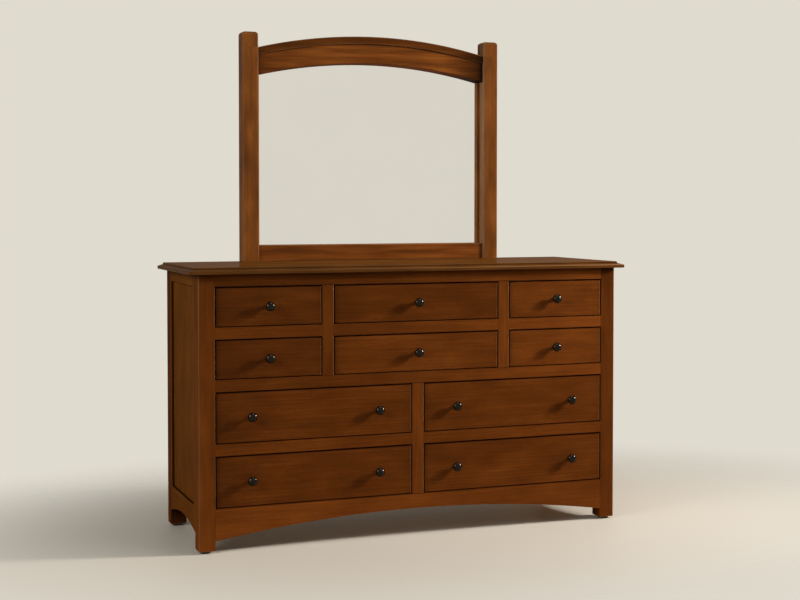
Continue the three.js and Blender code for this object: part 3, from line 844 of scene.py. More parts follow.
def rail_piece(node, ease):
    """A rail of the face frame. Its front half is cut through by the stiles that cross it."""
    tone, dark, crossing = RAILS[node]
    _, y, z = spans_of(node)
    end, half = leg_inside(), mid(y) + JOINT_GAP
    stiles = [spans_of(stile)[0] for stile in crossing]

    def section(at):
        # Painted shade is heavier along the top rail's lower edge, and most so at the left.
        foot = 0.75 - 0.4 * share(at + 0.5, RAIL_SHADE_LENGTH) if node == "face_top_rail" else 0.0
        corners = square((y[0], half), z, [SHARP, SHARP, ease, ease], RAIL_GAP_SHADE)
        return [*corners[:3], (*corners[3], foot, 0.0)]

    piece = Piece(node + "_board")
    starts = [-end] + [x + JOINT_GAP for _, x in stiles]
    stops = [x - JOINT_GAP for x, _ in stiles] + [end]
    for start, stop in zip(starts, stops):
        # Painted shade lies darker over the left of the board than over the right, and along the edges beside
        # the openings.
        piece.board("x", ((start, stop), (y[0], half), z), ease, tone=tone, worn=-0.9, section=section,
                    stain=lambda at: growing(0.5 - at, dark, RAIL_SHADE_LENGTH),
                    places=[at for at in RAIL_PLACES if start < at < stop])
    piece.board("x", ((-end, end), (half, y[1]), z), FINE_EASE, tone=tone)
    piece.done(CASE, "case_wood", node)


def stile_piece(node, rail, ease):
    """A short stile. Its back half is cut through by the rail that it crosses."""
    x, y, z = spans_of(node)
    low, high = spans_of(rail)[2]
    front = (y[0], mid(y))
    tone = STILE_TONES[node]

    def section(at):
        # The rounding stops where the rail meets the stile.
        here = SHARP if low - SHARP < at < high + SHARP else ease
        # The right edge holds a painted highlight, and the left edge painted shade beside the gap.
        return square(x, front, [here, SHARP, SHARP, here], STILE_HIGHLIGHT_AND_SHADE)

    piece = Piece(node + "_board")
    piece.board("z", (x, front, z), ease, section=section, tone=tone,
                places=(low - 2 * ease, low, high, high + 2 * ease))
    for part in ((z[0], low - JOINT_GAP), (high + JOINT_GAP, z[1])):
        piece.board("z", (x, (front[1], y[1]), part), FINE_EASE, tone=tone)
    piece.done(CASE, "case_wood", node)


class DRESSER_OT_face_frame(bpy.types.Operator):
    """Make the rails, stiles and arched apron of the face frame"""

    bl_idname = "dresser.face_frame"
    bl_label = "Face frame"

    def execute(self, context):
        ease = context.scene.dresser_edges.frame_ease
        for rail in RAILS:
            rail_piece(rail, ease)
        for rail, (_, _, crossing) in RAILS.items():
            for stile in crossing:
                stile_piece(stile, rail, ease)
        _, y, z = spans_of("front_apron")
        end = leg_inside()
        eases = [BOARD_EASE, FINE_EASE, ease, ease]
        apron = Piece("front_apron_board", SHADES["apron"])
        apron.board("x", ((-end, end), y, z), ease, places=curve_places(end), tone=1.0,
                    # Darker towards the right; the top edge holds painted shade beside the drawer gap, and
                    # the lower edge is rubbed pale.
                    stain=lambda at: growing(at - 0.1, *APRON_DARKENING),
                    section=lambda at: square(
                        y, (arch(end, z[0], APRON_APEX, at), z[1]), eases, APRON_WEAR_AND_SHADE))
        apron.done(CASE, "case_wood", "front_apron")
        return {"FINISHED"}


def side_pieces(side, way, ease):
    """A side's frame, with its arched lower edge, and the thin panel that is set back in it."""
    node = f"{side}_side_panel"
    x, y, z = spans_of(node)
    inner = (y[0] + SIDE_STILE, y[1] - SIDE_STILE)
    # For a board along Y the outline is (Z, X), and eases start at its top corner of low X.
    out_low, out_high = (ease, SHARP) if way < 0 else (SHARP, ease)
    eases = [SHARP, SHARP, out_high, out_low]

    def lower(at):
        return arch((y[1] - y[0]) / 2, z[0], SIDE_APEX, at - mid(y))

    def lower_rail_section(at):
        # The rail's upper edge meets the panel, and lies between its first two corners; it holds painted
        # shade, and the lower edges are rubbed.
        corners = square((lower(at), PANEL_FLOOR), x, [out_low, out_high, out_high, out_low])
        wears_and_painted_light = ((-0.8, 0.0, -0.85), (-0.8, -0.85, 0.0), (0.2,), (0.2,))
        return [(*corner[:3], *own) for corner, own in zip(corners, wears_and_painted_light)]

    frame_piece = Piece(f"{side}_side_frame", SHADES["side"])
    for span, tone in zip(((y[0], inner[0]), (inner[1], y[1])), SIDE_STILE_TONES):
        # Painted shade lies on the edges, most of all on those that face the panel, and the back stile is
        # darker.
        frame_piece.board(
            "y", (x, span, z), ease, ends=(ease, ease), grain="z", places=steps_between(*span, 6)[1:-1],
            worn=-0.5, end_wear_and_painted_light=(-0.8, -0.5), tone=tone,
            stain=lambda at: -0.8 if abs(at - inner[1]) < SHARP else 0.0,
            section=lambda at: square((lower(at), z[1]), x, eases))
    joint = (inner[0] + 0.1 * MM, inner[1] - 0.1 * MM)
    frame_piece.board("y", (x, joint, (z[0], PANEL_FLOOR)), ease, section=lower_rail_section,
                      places=steps_between(*joint, 24)[1:-1])
    # The top rail's edges hold painted shade.
    frame_piece.board("y", (x, joint, (PANEL_TOP, z[1])), ease, worn=-0.6,
                      section=lambda at: square((PANEL_TOP, z[1]), x, eases))
    frame_piece.done(CASE, "side_wood", node)
    panel = Piece(f"{side}_side_inset_panel", SHADES["side"])
    face = (x[0] if way < 0 else x[1]) - way * PANEL_RECESS
    joints = steps_between(*inner, PANEL_PLANKS)
    for span in zip(joints, joints[1:]):
        panel.board("z", (ordered(face, face - way * PANEL_THICKNESS), span, (PANEL_FLOOR, PANEL_TOP)),
                    SHARP, tone=panel.random.uniform(*PANEL_TONES))
    panel.done(CASE, "side_wood", node)


class DRESSER_OT_sides(bpy.types.Operator):
    """Make the stiles, rails and recessed panel of both sides"""

    bl_idname = "dresser.sides"
    bl_label = "Sides"

    def execute(self, context):
        for side, way in WAYS.items():
            side_pieces(side, way, context.scene.dresser_edges.frame_ease)
        return {"FINISHED"}


class DRESSER_OT_top(bpy.types.Operator):
    """Make the top board with its thin bevelled edge"""

    bl_idname = "dresser.top"
    bl_label = "Top"

    def execute(self, context):
        ease = context.scene.dresser_edges.top_ease
        x, y, z = spans_of("dresser_top")
        thickness, bevel_top = z[1] - z[0], TOP_EDGE + TOP_BEVEL_RISE
        # How far each line of the edge is drawn in, its height, and its rubbing and painted light, from the
        # underside up; painted shade makes a dark line at the foot of the step
        steps = list(enumerate(quarter()))
        profile = [(ease * (1 - sine), ease * (1 - cosine), float(0 < i < ROUND_STEPS))
                   for i, (cosine, sine) in steps]
        profile += [(ease * (1 - cosine), TOP_EDGE - ease + ease * sine, float(0 < i))
                    for i, (cosine, sine) in steps]
        profile += [(TOP_BEVEL * 0.55, TOP_EDGE + TOP_BEVEL_RISE * 0.5, 0.0),
                    (TOP_BEVEL - 1.5 * MM, bevel_top - 0.3 * MM, -0.1),
                    (TOP_BEVEL, bevel_top + 0.6 * MM, -0.45)]
        profile += [(TOP_BEVEL + TOP_STEP * (1 - cosine), thickness - TOP_STEP + TOP_STEP * sine,
                     (-0.4, -0.1, 0.3, 0.0)[i]) for i, (cosine, sine) in steps]
        rings = []
        for drawn, height, worn in profile:
            half, front, level = x[1] - drawn, y[0] + drawn, z[0] + height
            ring = [((half, y[1], level), 0.0), ((-half, y[1], level), 0.0)]
            for way, first in ((-1, math.pi), (1, 3 * math.pi / 2)):
                # The front edge's painted highlight fades towards the left, where painted shade takes its
                # place.
                rub = -0.35 * worn if way < 0 < worn else worn
                for i in range(TOP_CORNER_STEPS + 1):
                    angle = first + math.pi / 2 * i / TOP_CORNER_STEPS
                    ring.append(((way * (half - TOP_CORNER) + TOP_CORNER * math.cos(angle),
                                  front + TOP_CORNER + TOP_CORNER * math.sin(angle), level), rub))
            rings.append(ring)
        top = Piece("dresser_top_board", SHADES["top"])
        top.shell(rings, 0, tone=1.0)
        top.done(CASE, "top_wood", "dresser_top")
        return {"FINISHED"}


def dust_board(row, columns):
    """The boards under a row of drawers, with the guides beside and between the drawers."""
    node = f"{row}_row_dust_board"
    x, y, z = spans_of(node)
    floor, wide = z[0] + BOARD_THICKNESS, leg_inside()
    joints = steps_between(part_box("front_left_leg")[1].y + JOINT_GAP,
                           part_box("back_left_leg")[0].y - JOINT_GAP, DUST_BOARD_PLANKS)
    first, last = joints[0], joints[-1]
    piece = Piece(node + "_boards")
    piece.board("x", ((-wide, wide), (y[0], first), (z[0], floor)), BOARD_EASE)
    for span in zip(joints, joints[1:]):
        piece.board("x", (x, span, (z[0], floor)), PLANK_EASE)
    piece.board("x", ((-wide, wide), (last, y[1]), (z[0], floor)), BOARD_EASE)
    fronts = [spans_of(f"{row}_{column}_drawer_front")[0] for column in columns]
    starts = [x[0]] + [high + FRONT_GAP for _, high in fronts]
    stops = [low - FRONT_GAP for low, _ in fronts] + [x[1]]
    for guide in zip(starts, stops):
        outer = x[0] in guide or x[1] in guide
        piece.board("y", (guide, (first, last) if outer else y, (floor, z[1])), BOARD_EASE,
                    ends=(BOARD_EASE, BOARD_EASE))
    piece.done(CASE, "bare_wood", node)


class DRESSER_OT_inside(bpy.types.Operator):
    """Make the back and the dust boards that the drawers run on"""

    bl_idname = "dresser.inside"
    bl_label = "Back and dust boards"

    def execute(self, context):
        x, y, z = spans_of("back_panel")
        face = y[1] - BACK_THICKNESS
        back = Piece("back_panel_board")
        back.board("z", (x, (face, y[1]), z), FINE_EASE, ends=(FINE_EASE, FINE_EASE), grain="z")
        back.done(CASE, "plywood", "back_panel")
        rail = Piece("back_top_rail")
        rail.board("x", (x, (face - BACK_RAIL_THICKNESS, face), (z[1] - BACK_RAIL_HEIGHT, z[1])), BOARD_EASE)
        rail.done(CASE, "bare_wood", "back_panel")
        for row, columns in ROWS.items():
            dust_board(row, columns)
        return {"FINISHED"}


def drawer_pieces(drawer, ease):
    """A drawer's front, its four box walls, and its bottom."""
    x, y, z = spans_of(drawer + "_front")
    tone, dark = FRONTS[drawer.removesuffix("_drawer")]

    def stain(at):
        # Painted shade makes the front darker towards its ends, with a dark line beside each end's gap.
        left, right = at - x[0], x[1] - at
        return min(fading(left, *FRONT_LEFT_LINE) + fading(left, -dark, FRONT_LEFT_REACH),
                   fading(right, *FRONT_RIGHT_LINE) + fading(right, *FRONT_RIGHT_SHADE))

    places = [x[0] + at for at in (0.01, FRONT_LEFT_LINE[1], 0.06, FRONT_LEFT_REACH)]
    places += [x[1] - at for _, at in (FRONT_RIGHT_SHADE, FRONT_RIGHT_LINE)]
    front = Piece(drawer + "_front_board")
    # The front's edges hold painted shade beside the gaps, its left end most, and its right end a painted
    # highlight.
    front.board("x", (x, y, z), ease, ends=(ease, ease), places=places, stain=stain,
                end_wear_and_painted_light=FRONT_END_SHADE_AND_HIGHLIGHT, tone=tone,
                section=lambda at: square(y, z, [ease, ease, ease, 0.6 * ease], FRONT_GAP_SHADE))
    front.done(drawer, "front_wood", drawer + "_front")
    x, y, z = spans_of(drawer + "_box")
    inner_x, inner_y = (x[0] + BOX_WALL, x[1] - BOX_WALL), (y[0] + BOX_WALL, y[1] - BOX_WALL)
    box = Piece(drawer + "_box_walls")
    for span in ((x[0], inner_x[0]), (inner_x[1], x[1])):
        box.board("y", (span, y, z), WALL_EASE, ends=(WALL_END_EASE, WALL_END_EASE))
    for span in ((y[0], inner_y[0]), (inner_y[1], y[1])):
        box.board("x", (inner_x, span, z), WALL_EASE)
    box.done(drawer, "bare_wood", drawer + "_box")
    bottom = Piece(drawer + "_bottom")
    low = z[0] + BOX_INSET
    bottom.board("x", (inner_x, inner_y, (low, low + BOX_BOTTOM)), SHARP)
    bottom.done(drawer, "plywood", drawer + "_box")


class DRESSER_OT_drawers(bpy.types.Operator):
    """Make the ten drawers: each front, and the box behind it"""

    bl_idname = "dresser.drawers"
    bl_label = "Drawers"

    def execute(self, context):
        for drawer in DRAWERS:
            drawer_pieces(drawer, context.scene.dresser_edges.front_ease)
        return {"FINISHED"}


class DRESSER_OT_knobs(bpy.types.Operator):
    """Turn the fourteen mushroom knobs"""

    bl_idname = "dresser.knobs"
    bl_label = "Knobs"

    def execute(self, context):
        for node in KNOBS:
            x, y, z = spans_of(node)
            knob = Piece(node + "_turning")
            knob.turned((mid(x), y[0], mid(z)), "y", [(r * MM, h * MM, w) for r, h, w in KNOB_PROFILE],
                        KNOB_SIDES)
            drawer = next(drawer for drawer in DRAWERS if node.startswith(drawer))
            knob.done(drawer, "bronze", node, sharp=65)
        return {"FINISHED"}


def mirror_arch(half, drop, at):
    """Height of the mirror's arch, `drop` below its top, for a board of that half width."""
    apex = MIRROR_FLOOR + ARCH_APEX - drop
    return arch(half, apex - ARCH_RISE * (half / ARCH_HALF) ** 2, apex, at)


def post_pieces(side, way, arris):
    """A post of the mirror, rounded over at its top, and the lip that stands beside the glass."""
    node = f"mirror_{side}_post"
    x, y, z = spans_of(node)
    outer, inner = x[0] if way < 0 else x[1], way * ARCH_HALF
    span, crown = ordered(outer, inner), MIRROR_FLOOR + ARCH_APEX
    arch_end = crown - ARCH_RISE
    step, notch = y[1] - RABBET_DEPTH, inner + way * RABBET
    # The inner face and its front edge are painted paler, most on the right post, for the light reflected off
    # the glass.
    inner_arris, rub = (0.7 * arris, 0.6) if way < 0 else (1.6 * arris, 1.5)

    def lower(at):
        # The rabbet for the glass and the back board is cut from the inner back corner.
        corners = [(outer, y[1], arris), (notch, y[1], FINE_EASE), (notch, step, FINE_EASE),
                   (inner, step, FINE_EASE, rub, *(0.0, rub)[::way]),
                   (inner, y[0], inner_arris, rub, *(rub, 0.0)[::way]), (outer, y[0], arris)]
        return corners[::way]

    def upper(at):
        over = max(at - (crown - POST_TOP_ROUND), 0.0)
        inset = POST_TOP_ROUND - math.sqrt(max(POST_TOP_ROUND ** 2 - over ** 2, 0.0))
        corners = square((span[0] + inset, span[1] - inset), (y[0] + inset, y[1] - inset),
                         [max(arris - inset * 0.1, BOARD_EASE)] * 4)
        # The inner front edge holds a painted highlight, paler across the inner face towards the front.
        front = 0 if way < 0 else 3
        corners[front] = (*corners[front][:3], 1.2, *(1.2, 0.0)[::way])
        return corners

    tone, rounding = POST_TONES[side], quarter(POST_TOP_STEPS)[:-1]
    post = Piece(node + "_board", SHADES["post"])
    post.board("z", (span, y, (MIRROR_FLOOR, arch_end)), arris, section=lower, tone=tone)
    post.board("z", (span, y, (arch_end, crown)), arris, section=upper, tone=tone,
               places=[crown - POST_TOP_ROUND + POST_TOP_ROUND * sine for _, sine in rounding])
    post.done(CASE, "post_wood", node)
    glass_front = spans_of("mirror_glass")[1][0]
    rail_top = spans_of("mirror_bottom_rail")[2][1]
    # The lip is painted pale, for the light reflected onto it off the glass.
    lip = Piece(f"mirror_{side}_lip", SHADES["lip"])
    lip.board("z", (
        ordered(inner, inner - way * LIP_WIDTH), (glass_front - LIP_REACH, glass_front - JOINT_GAP),
        (rail_top + JOINT_GAP, arch_end - TOP_RAIL_DROP - JOINT_GAP)), LIP_EASE)
    lip.done(CASE, "post_wood", node)


class DRESSER_OT_mirror_frame(bpy.types.Operator):
    """Make the mirror's posts, rails, cap and inner lips"""

    bl_idname = "dresser.mirror_frame"
    bl_label = "Mirror frame"

    def execute(self, context):
        edges = context.scene.dresser_edges
        ease = edges.rail_ease
        for side, way in WAYS.items():
            post_pieces(side, way, edges.post_arris)
        end = ARCH_HALF - JOINT_GAP
        _, y, z = spans_of("mirror_bottom_rail")
        bottom = Piece("mirror_bottom_rail_board", SHADES["bottom rail"])
        bottom.board("x", ((-end, end), y, z), ease,
                     section=lambda at: square(y, z, [BOARD_EASE, BOARD_EASE, ease, ease]))
        bottom.done(CASE, "rail_wood", "mirror_bottom_rail")

        def stain(at):
            # Painted shade: the right post's shadow lies on the rail's right end, and the rail is also darker
            # at its left end and away from its right end.
            left, right = at + end, end - at
            return min(fading(left, *MIRROR_RAIL_LEFT), fading(right, *MIRROR_RAIL_POST_SHADOW),
                       growing(right - 0.2, *MIRROR_RAIL_MIDDLE))

        def rail_section(at):
            # Painted shade lies in the line beneath the cap, and thins out towards the left.
            low, high = mirror_arch(end, TOP_RAIL_DROP, at), mirror_arch(end, CAP_HEIGHT, at)
            line = CAP_LINE[0] + growing(at + 0.25, *CAP_LINE)
            return [(y[1], low, BOARD_EASE, 0.0), (y[1], high, SHARP, 0.0),
                    (y[0], high, 3 * MM, line, line, 0.75 * line), (y[0], high - 8 * MM, 0, 0.0),
                    (y[0], low, ease, -0.2)]

        def cap_section(at):
            heights = mirror_arch(end, CAP_HEIGHT, at), mirror_arch(end, 0, at)
            return square(cap_y, heights, [SHARP, *CAP_EASES])

        cap_y = (spans_of("mirror_top_rail")[1][0], y[1])
        rail = Piece("mirror_top_rail_board", SHADES["top rail"])
        rail.board("x", ((-end, end), y, z), ease, places=curve_places(end), stain=stain,
                   section=rail_section)
        rail.done(CASE, "rail_wood", "mirror_top_rail")
        cap = Piece("mirror_cap")
        # The cap is painted darker, shares the rail's painted shade and shadow, and darkens over its right
        # half.
        cap.board("x", ((-end, end), cap_y, z), ease, places=curve_places(end), tone=SHADES["cap"],
                  stain=lambda at: min(stain(at), growing(at, *CAP_DARKENING)), section=cap_section)
        cap.done(CASE, "rail_wood", "mirror_top_rail")
        return {"FINISHED"}


class DRESSER_OT_mirror_glass(bpy.types.Operator):
    """Make the mirror's glass, its back board and the battens that hold it up"""

    bl_idname = "dresser.mirror_glass"
    bl_label = "Mirror glass and back"

    def execute(self, context):
        x, y, z = spans_of("mirror_glass")
        glass = Piece("mirror_glass_sheet")
        glass.board("x", (x, y, z), SHARP, places=curve_places(x[1]), section=lambda at: square(
            y, (z[0], mirror_arch(x[1], GLASS_DROP, at)), [SHARP] * 4))
        glass.done(CASE, "silver", "mirror_glass")
        x, y, z = spans_of("mirror_back_board")
        back = spans_of("mirror_left_post")[1][1]
        sheet = (back - MIRROR_BACK_THICKNESS, back)
        board = Piece("mirror_back_sheet")
        board.board("x", (x, sheet, z), SHARP, places=curve_places(x[1]), grain="z",
                    section=lambda at: square(
                        sheet, (MIRROR_FLOOR, mirror_arch(x[1], BACK_DROP, at)), [FINE_EASE] * 4))
        board.done(CASE, "plywood", "mirror_back_board")
        for side, way in WAYS.items():
            edge = x[1] - BATTEN_INSET
            spans = (ordered(way * edge, way * (edge - BATTEN_WIDTH)), (back + 0.1 * MM, y[1]),
                     (z[0], MIRROR_FLOOR + BATTEN_RISE))
            batten = Piece(f"mirror_{side}_batten")
            batten.board("z", spans, BATTEN_EASE, ends=(BATTEN_EASE, BATTEN_EASE))
            batten.done(CASE, "bare_wood", "mirror_back_board")
        return {"FINISHED"}


def scatter(name, body, points, tree, values):
    """Grows what a node tree makes on each point, as one plain mesh. Points are (place, turn)."""
    mesh = bpy.data.meshes.new(name)
    mesh.from_pydata([place for place, _ in points], [], [])
    turns = mesh.attributes.new("turn", "FLOAT_VECTOR", "POINT")
    for entry, (_, turn) in zip(turns.data, points):
        entry.vector = turn
    made = add_object(name, mesh)
    modifier = made.modifiers.new("grow", "NODES")
    modifier.node_group = tree
    for item in tree.interface.items_tree:
        if item.item_type == "SOCKET" and item.in_out == "INPUT" and item.name in values:
            modifier[item.identifier] = values[item.name]
    apply_modifiers(made)
    register_piece(made, body)


def geometry_tree(name, inputs):
    """A geometry tree with named number inputs, and its input node."""
    tree = bpy.data.node_groups.new(name, "GeometryNodeTree")
    for way in ("INPUT", "OUTPUT"):
        tree.interface.new_socket("Geometry", in_out=way, socket_type="NodeSocketGeometry")
    for label, default in inputs.items():
        kind = "NodeSocketInt" if isinstance(default, int) else "NodeSocketFloat"
        tree.interface.new_socket(label, in_out="INPUT", socket_type=kind).default_value = default
    return tree, add(tree, "NodeGroupInput")


def on_points(tree, given, instance):
    """The instance on each point, turned as the point says."""
    turn = add(tree, "GeometryNodeInputNamedAttribute", {"Name": "turn"}, data_type="FLOAT_VECTOR")
    return add(tree, "GeometryNodeInstanceOnPoints", {
        "Points": given.outputs["Geometry"], "Instance": instance, "Rotation": turn})


def pin_tree():
    """Tree of dovetail pins: a raised trapezoid in the XY plane, narrow towards the end of the board."""
    tree, given = geometry_tree("dovetail pins", {
        "Length": 0.012, "Wide": 0.011, "Narrow": 0.007, "Thickness": 0.001})
    outline = add(tree, "GeometryNodeCurvePrimitiveQuadrilateral", {
        "Height": given.outputs["Length"], "Bottom Width": given.outputs["Narrow"],
        "Top Width": given.outputs["Wide"], "Offset": 0.0}, mode="TRAPEZOID")
    face = add(tree, "GeometryNodeFillCurve", {"Curve": outline}, mode="NGONS")
    raised = add(tree, "GeometryNodeExtrudeMesh", {
        "Mesh": face, "Offset Scale": given.outputs["Thickness"]}, mode="FACES")
    under = add(tree, "GeometryNodeFlipFaces", {"Mesh": face})
    closed = add(tree, "GeometryNodeJoinGeometry", {"Geometry": [raised, under]})
    merged = add(tree, "GeometryNodeMergeByDistance", {"Geometry": closed, "Distance": 0.01 * MM})
    real = add(tree, "GeometryNodeRealizeInstances", {"Geometry": on_points(tree, given, merged)})
    kept = add(tree, "GeometryNodeSetMaterial", {"Geometry": real, "Material": finish("end_grain")})
    add(tree, "NodeGroupOutput", {"Geometry": kept})
    return tree


class DRESSER_OT_dovetails(bpy.types.Operator):
    """Set the dovetail pins into the corners of the drawer boxes"""

    bl_idname = "dresser.dovetails"
    bl_label = "Dovetails"

    def execute(self, context):
        tree = pin_tree()
        for drawer in DRAWERS:
            x, y, z = spans_of(drawer + "_box")
            count = round((z[1] - z[0]) / PIN_PITCH)
            pitch = (z[1] - z[0]) / count
            points = []
            for i in range(count):
                height = z[0] + (i + 0.5) * pitch
                for face, outward in zip(x, (-1, 1)):
                    for end, way in zip(y, (1, -1)):
                        # The tree draws in XY and raises along Z: turn that to lie on the box's side.
                        place = (face - outward * PIN_DEPTH, end + way * (BOX_WALL / 2 + 0.2 * MM), height)
                        points.append((place, (0 if way > 0 else math.pi, math.pi / 2 * outward, 0)))
            scatter(drawer + "_dovetail_pins", drawer, points, tree,
                    {"Length": BOX_WALL - 0.4 * MM, "Thickness": PIN_THICKNESS})
        return {"FINISHED"}


def screw_tree():
    """Tree of screw heads: a low dome that faces +Z, with a dark cross recess, each turned at random."""
    tree, given = geometry_tree("screw heads", {"Head Radius": 0.004, "Head Height": 0.0016, "Seed": 4})
    radius, height = given.outputs["Head Radius"], given.outputs["Head Height"]
    crown, arm, thin, deep = (
        add(tree, "ShaderNodeMath", {0: size, 1: part}, operation="MULTIPLY")
        for size, part in ((radius, 0.72), (radius, 1.05), (radius, 0.22), (height, 1.04)))
    head = add(tree, "GeometryNodeMeshCone", {
        "Vertices": 20, "Side Segments": 1, "Fill Segments": 1, "Radius Top": crown,
        "Radius Bottom": radius, "Depth": height}, fill_type="NGON")
    up = add(tree, "ShaderNodeMath", {0: deep, 1: 0.5}, operation="MULTIPLY")
    lift = add(tree, "ShaderNodeCombineXYZ", {"Z": up})
    parts = []
    for first, second in ((arm, thin), (thin, arm)):
        size = add(tree, "ShaderNodeCombineXYZ", {"X": first, "Y": second, "Z": deep})
        bar = add(tree, "GeometryNodeMeshCube", {"Size": size})
        moved = add(tree, "GeometryNodeTransform", {"Geometry": bar, "Translation": lift})
        parts.append(add(tree, "GeometryNodeSetMaterial", {"Geometry": moved, "Material": finish("recess")}))
    parts.append(add(tree, "GeometryNodeSetMaterial", {"Geometry": head, "Material": finish("steel")}))
    joined = add(tree, "GeometryNodeJoinGeometry", {"Geometry": parts})
    spin = add(tree, "FunctionNodeRandomValue", {
        "Seed": given.outputs["Seed"], "Min": (0, 0, 0), "Max": (0, 0, math.pi / 2)},
        data_type="FLOAT_VECTOR")
    spun = add(tree, "GeometryNodeRotateInstances", {
        "Instances": on_points(tree, given, joined), "Rotation": spin, "Local Space": True})
    add(tree, "NodeGroupOutput", {"Geometry": add(tree, "GeometryNodeRealizeInstances", {"Geometry": spun})})
    return tree


def facing_back(places):
    """Points at these places, each turned so that its screw's head faces +Y."""
    return [(place, (-math.pi / 2, 0, 0)) for place in places]


class DRESSER_OT_screws(bpy.types.Operator):
    """Drive the screws of the knobs, the battens and the back"""

    bl_idname = "dresser.screws"
    bl_label = "Screws"

    def execute(self, context):
        tree = screw_tree()
        head = {"Head Radius": KNOB_SCREW_RADIUS, "Head Height": KNOB_SCREW_HEIGHT}
        for drawer in DRAWERS:
            places = []
            for x, y, z in (spans_of(node) for node in KNOBS if node.startswith(drawer)):
                places.append((mid(x), y[1] - KNOB_SCREW_HEIGHT, mid(z)))
            scatter(drawer + "_knob_screws", drawer, facing_back(places), tree, head)
        x, y, z = spans_of("mirror_back_board")
        line = x[1] - BATTEN_INSET - BATTEN_WIDTH / 2
        places = [(side * line + off, y[1], height) for side in (-1, 1) for height in BATTEN_SCREWS
                  for off in (-BATTEN_SCREW_OFFSET, BATTEN_SCREW_OFFSET)]
        x, y, z = spans_of("back_panel")
        heights = steps_between(z[0] + BACK_SCREW_ENDS, z[1] - BACK_SCREW_ENDS, 6)
        places += [(side * (x[1] - BACK_SCREW_EDGE), y[1], height) for height in heights for side in (-1, 1)]
        for across in steps_between(x[0] + BACK_SCREW_SIDES, x[1] - BACK_SCREW_SIDES, 8):
            places.append((across, y[1], z[0] + BACK_SCREW_FOOT))
            # No screw of the back's upper edge lies under a batten.
            if abs(abs(across) - line) > BATTEN_CLEARANCE:
                places.append((across, y[1], z[1] - BACK_SCREW_EDGE))
        scatter("back_screws", CASE, facing_back(places), tree, {
            "Head Radius": BACK_SCREW_RADIUS, "Head Height": BACK_SCREW_HEIGHT})
        return {"FINISHED"}


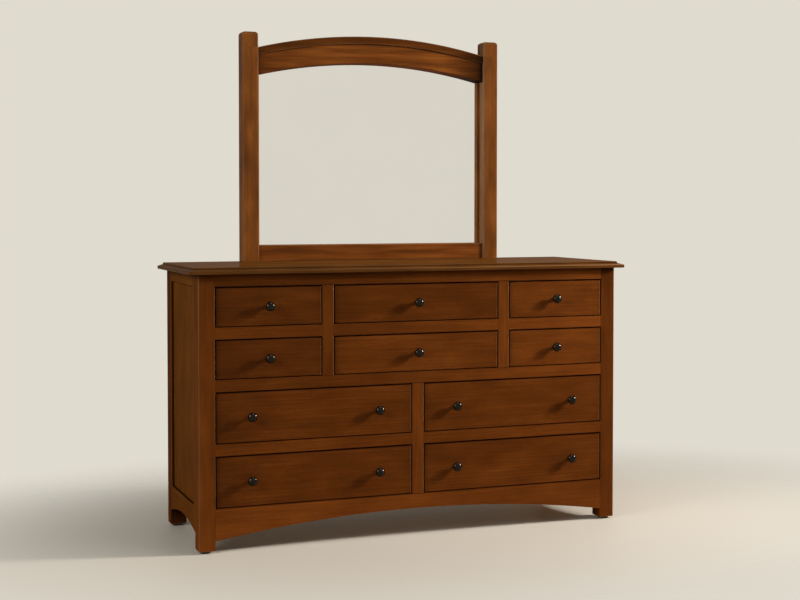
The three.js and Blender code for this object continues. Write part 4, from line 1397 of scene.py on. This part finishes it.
class DRESSER_OT_stage(bpy.types.Operator):
    """Set the plain floor, the soft lights and the camera"""

    bl_idname = "dresser.stage"
    bl_label = "Stage"

    def execute(self, context):
        scene, stage = context.scene, context.scene.dresser_stage
        scene.view_settings.view_transform = "Standard"
        self.floor(stage)
        self.room(scene, stage)
        for name, place, aim, size, colour, spread in LAMPS:
            lamp = bpy.data.lights.new(name + "_light", "AREA")
            lamp.shape = "RECTANGLE"
            lamp.size, lamp.size_y = size
            lamp.energy, lamp.color, lamp.spread = getattr(stage, name), colour, math.radians(spread)
            made = add_object(lamp.name, lamp)
            made.location = place
            made.rotation_euler = (Vector(aim) - Vector(place)).to_track_quat("-Z", "Y").to_euler()
        lens = bpy.data.cameras.new("camera")
        lens.sensor_width, lens.lens, lens.shift_y = SENSOR_WIDTH, stage.lens, CAMERA_SHIFT
        scene.camera = add_object("camera", lens)
        scene.camera.location = CAMERA_PLACE
        scene.camera.rotation_euler = (math.radians(90 - CAMERA_DOWN), 0, math.radians(CAMERA_TURN))
        return {"FINISHED"}

    @staticmethod
    def floor(stage):
        """A pale disc that fades into the backdrop, so that no horizon shows."""
        bm = bmesh.new()
        bmesh.ops.create_circle(bm, cap_ends=True, segments=96, radius=FLOOR_RADIUS)
        mesh = bpy.data.meshes.new("floor")
        bm.to_mesh(mesh)
        bm.free()
        material, tree, shader = new_material("pale_floor")
        feed(tree, shader, {"Base Color": rgba(stage.floor), "Roughness": 0.6})
        place = add(tree, "ShaderNodeTexCoord").outputs["Object"]
        oval = add(tree, "ShaderNodeVectorMath", {0: place, 1: (0.65, 1.0, 1.0)}, operation="MULTIPLY")
        away = add(tree, "ShaderNodeVectorMath", {0: oval}, operation="LENGTH").outputs["Value"]
        fade = add(tree, "ShaderNodeMapRange", {
            "Value": away, "From Min": 0.45, "From Max": 1.7}, interpolation_type="SMOOTHSTEP")
        clear = add(tree, "ShaderNodeBsdfTransparent")
        mix = add(tree, "ShaderNodeMixShader", {0: fade, 1: shader, 2: clear})
        output = next(node for node in tree.nodes if node.type == "OUTPUT_MATERIAL")
        feed(tree, output, {"Surface": mix})
        mesh.materials.append(material)
        add_object("floor", mesh)

    @staticmethod
    def room(scene, stage):
        """An even light, with the pale backdrop for what the camera and the mirror see."""
        scene.world = bpy.data.worlds.new("room")
        scene.world.use_nodes = True
        tree = scene.world.node_tree
        tree.nodes.clear()
        path = add(tree, "ShaderNodeLightPath")
        seen = path.outputs["Is Camera Ray"]
        for ray in ("Is Glossy Ray", "Is Transmission Ray"):
            seen = add(tree, "ShaderNodeMath", {0: seen, 1: path.outputs[ray]}, operation="MAXIMUM")
        light = add(tree, "ShaderNodeBackground", {"Color": (1.0, 0.965, 0.91, 1.0), "Strength": stage.sky})
        pale = add(tree, "ShaderNodeBackground", {"Color": rgba(stage.backdrop), "Strength": 1.0})
        mix = add(tree, "ShaderNodeMixShader", {0: seen, 1: light, 2: pale})
        add(tree, "ShaderNodeOutputWorld", {"Surface": mix})


OPERATORS = (
    DRESSER_OT_stage, DRESSER_OT_legs, DRESSER_OT_face_frame, DRESSER_OT_sides, DRESSER_OT_top,
    DRESSER_OT_inside, DRESSER_OT_drawers, DRESSER_OT_dovetails, DRESSER_OT_knobs,
    DRESSER_OT_mirror_frame, DRESSER_OT_mirror_glass, DRESSER_OT_screws)
SETTINGS = {"dresser_edges": DresserEdges, "dresser_colours": DresserColours, "dresser_stage": DresserStage}


class DRESSER_PT_panel(bpy.types.Panel):
    """Lists the dresser's steps and settings in the sidebar"""

    bl_idname = "DRESSER_PT_panel"
    bl_label = "Dresser with mirror"
    bl_space_type = "VIEW_3D"
    bl_region_type = "UI"
    bl_category = "Dresser"

    def draw(self, context):
        for operator in OPERATORS:
            self.layout.operator(operator.bl_idname)
        for name, group in SETTINGS.items():
            box = self.layout.box()
            for field in group.__annotations__:
                box.prop(getattr(context.scene, name), field)


def register():
    for group in SETTINGS.values():
        bpy.utils.register_class(group)
    for name, group in SETTINGS.items():
        setattr(bpy.types.Scene, name, PointerProperty(type=group))
    for item in (*OPERATORS, DRESSER_PT_panel):
        bpy.utils.register_class(item)


def unregister():
    for item in reversed((*OPERATORS, DRESSER_PT_panel)):
        bpy.utils.unregister_class(item)
    for name in SETTINGS:
        delattr(bpy.types.Scene, name)
    for group in reversed(SETTINGS.values()):
        bpy.utils.unregister_class(group)


def main():
    register()
    for operator in OPERATORS:
        family, step = operator.bl_idname.split(".")
        getattr(getattr(bpy.ops, family), step)()


if __name__ == "__main__":
    main()
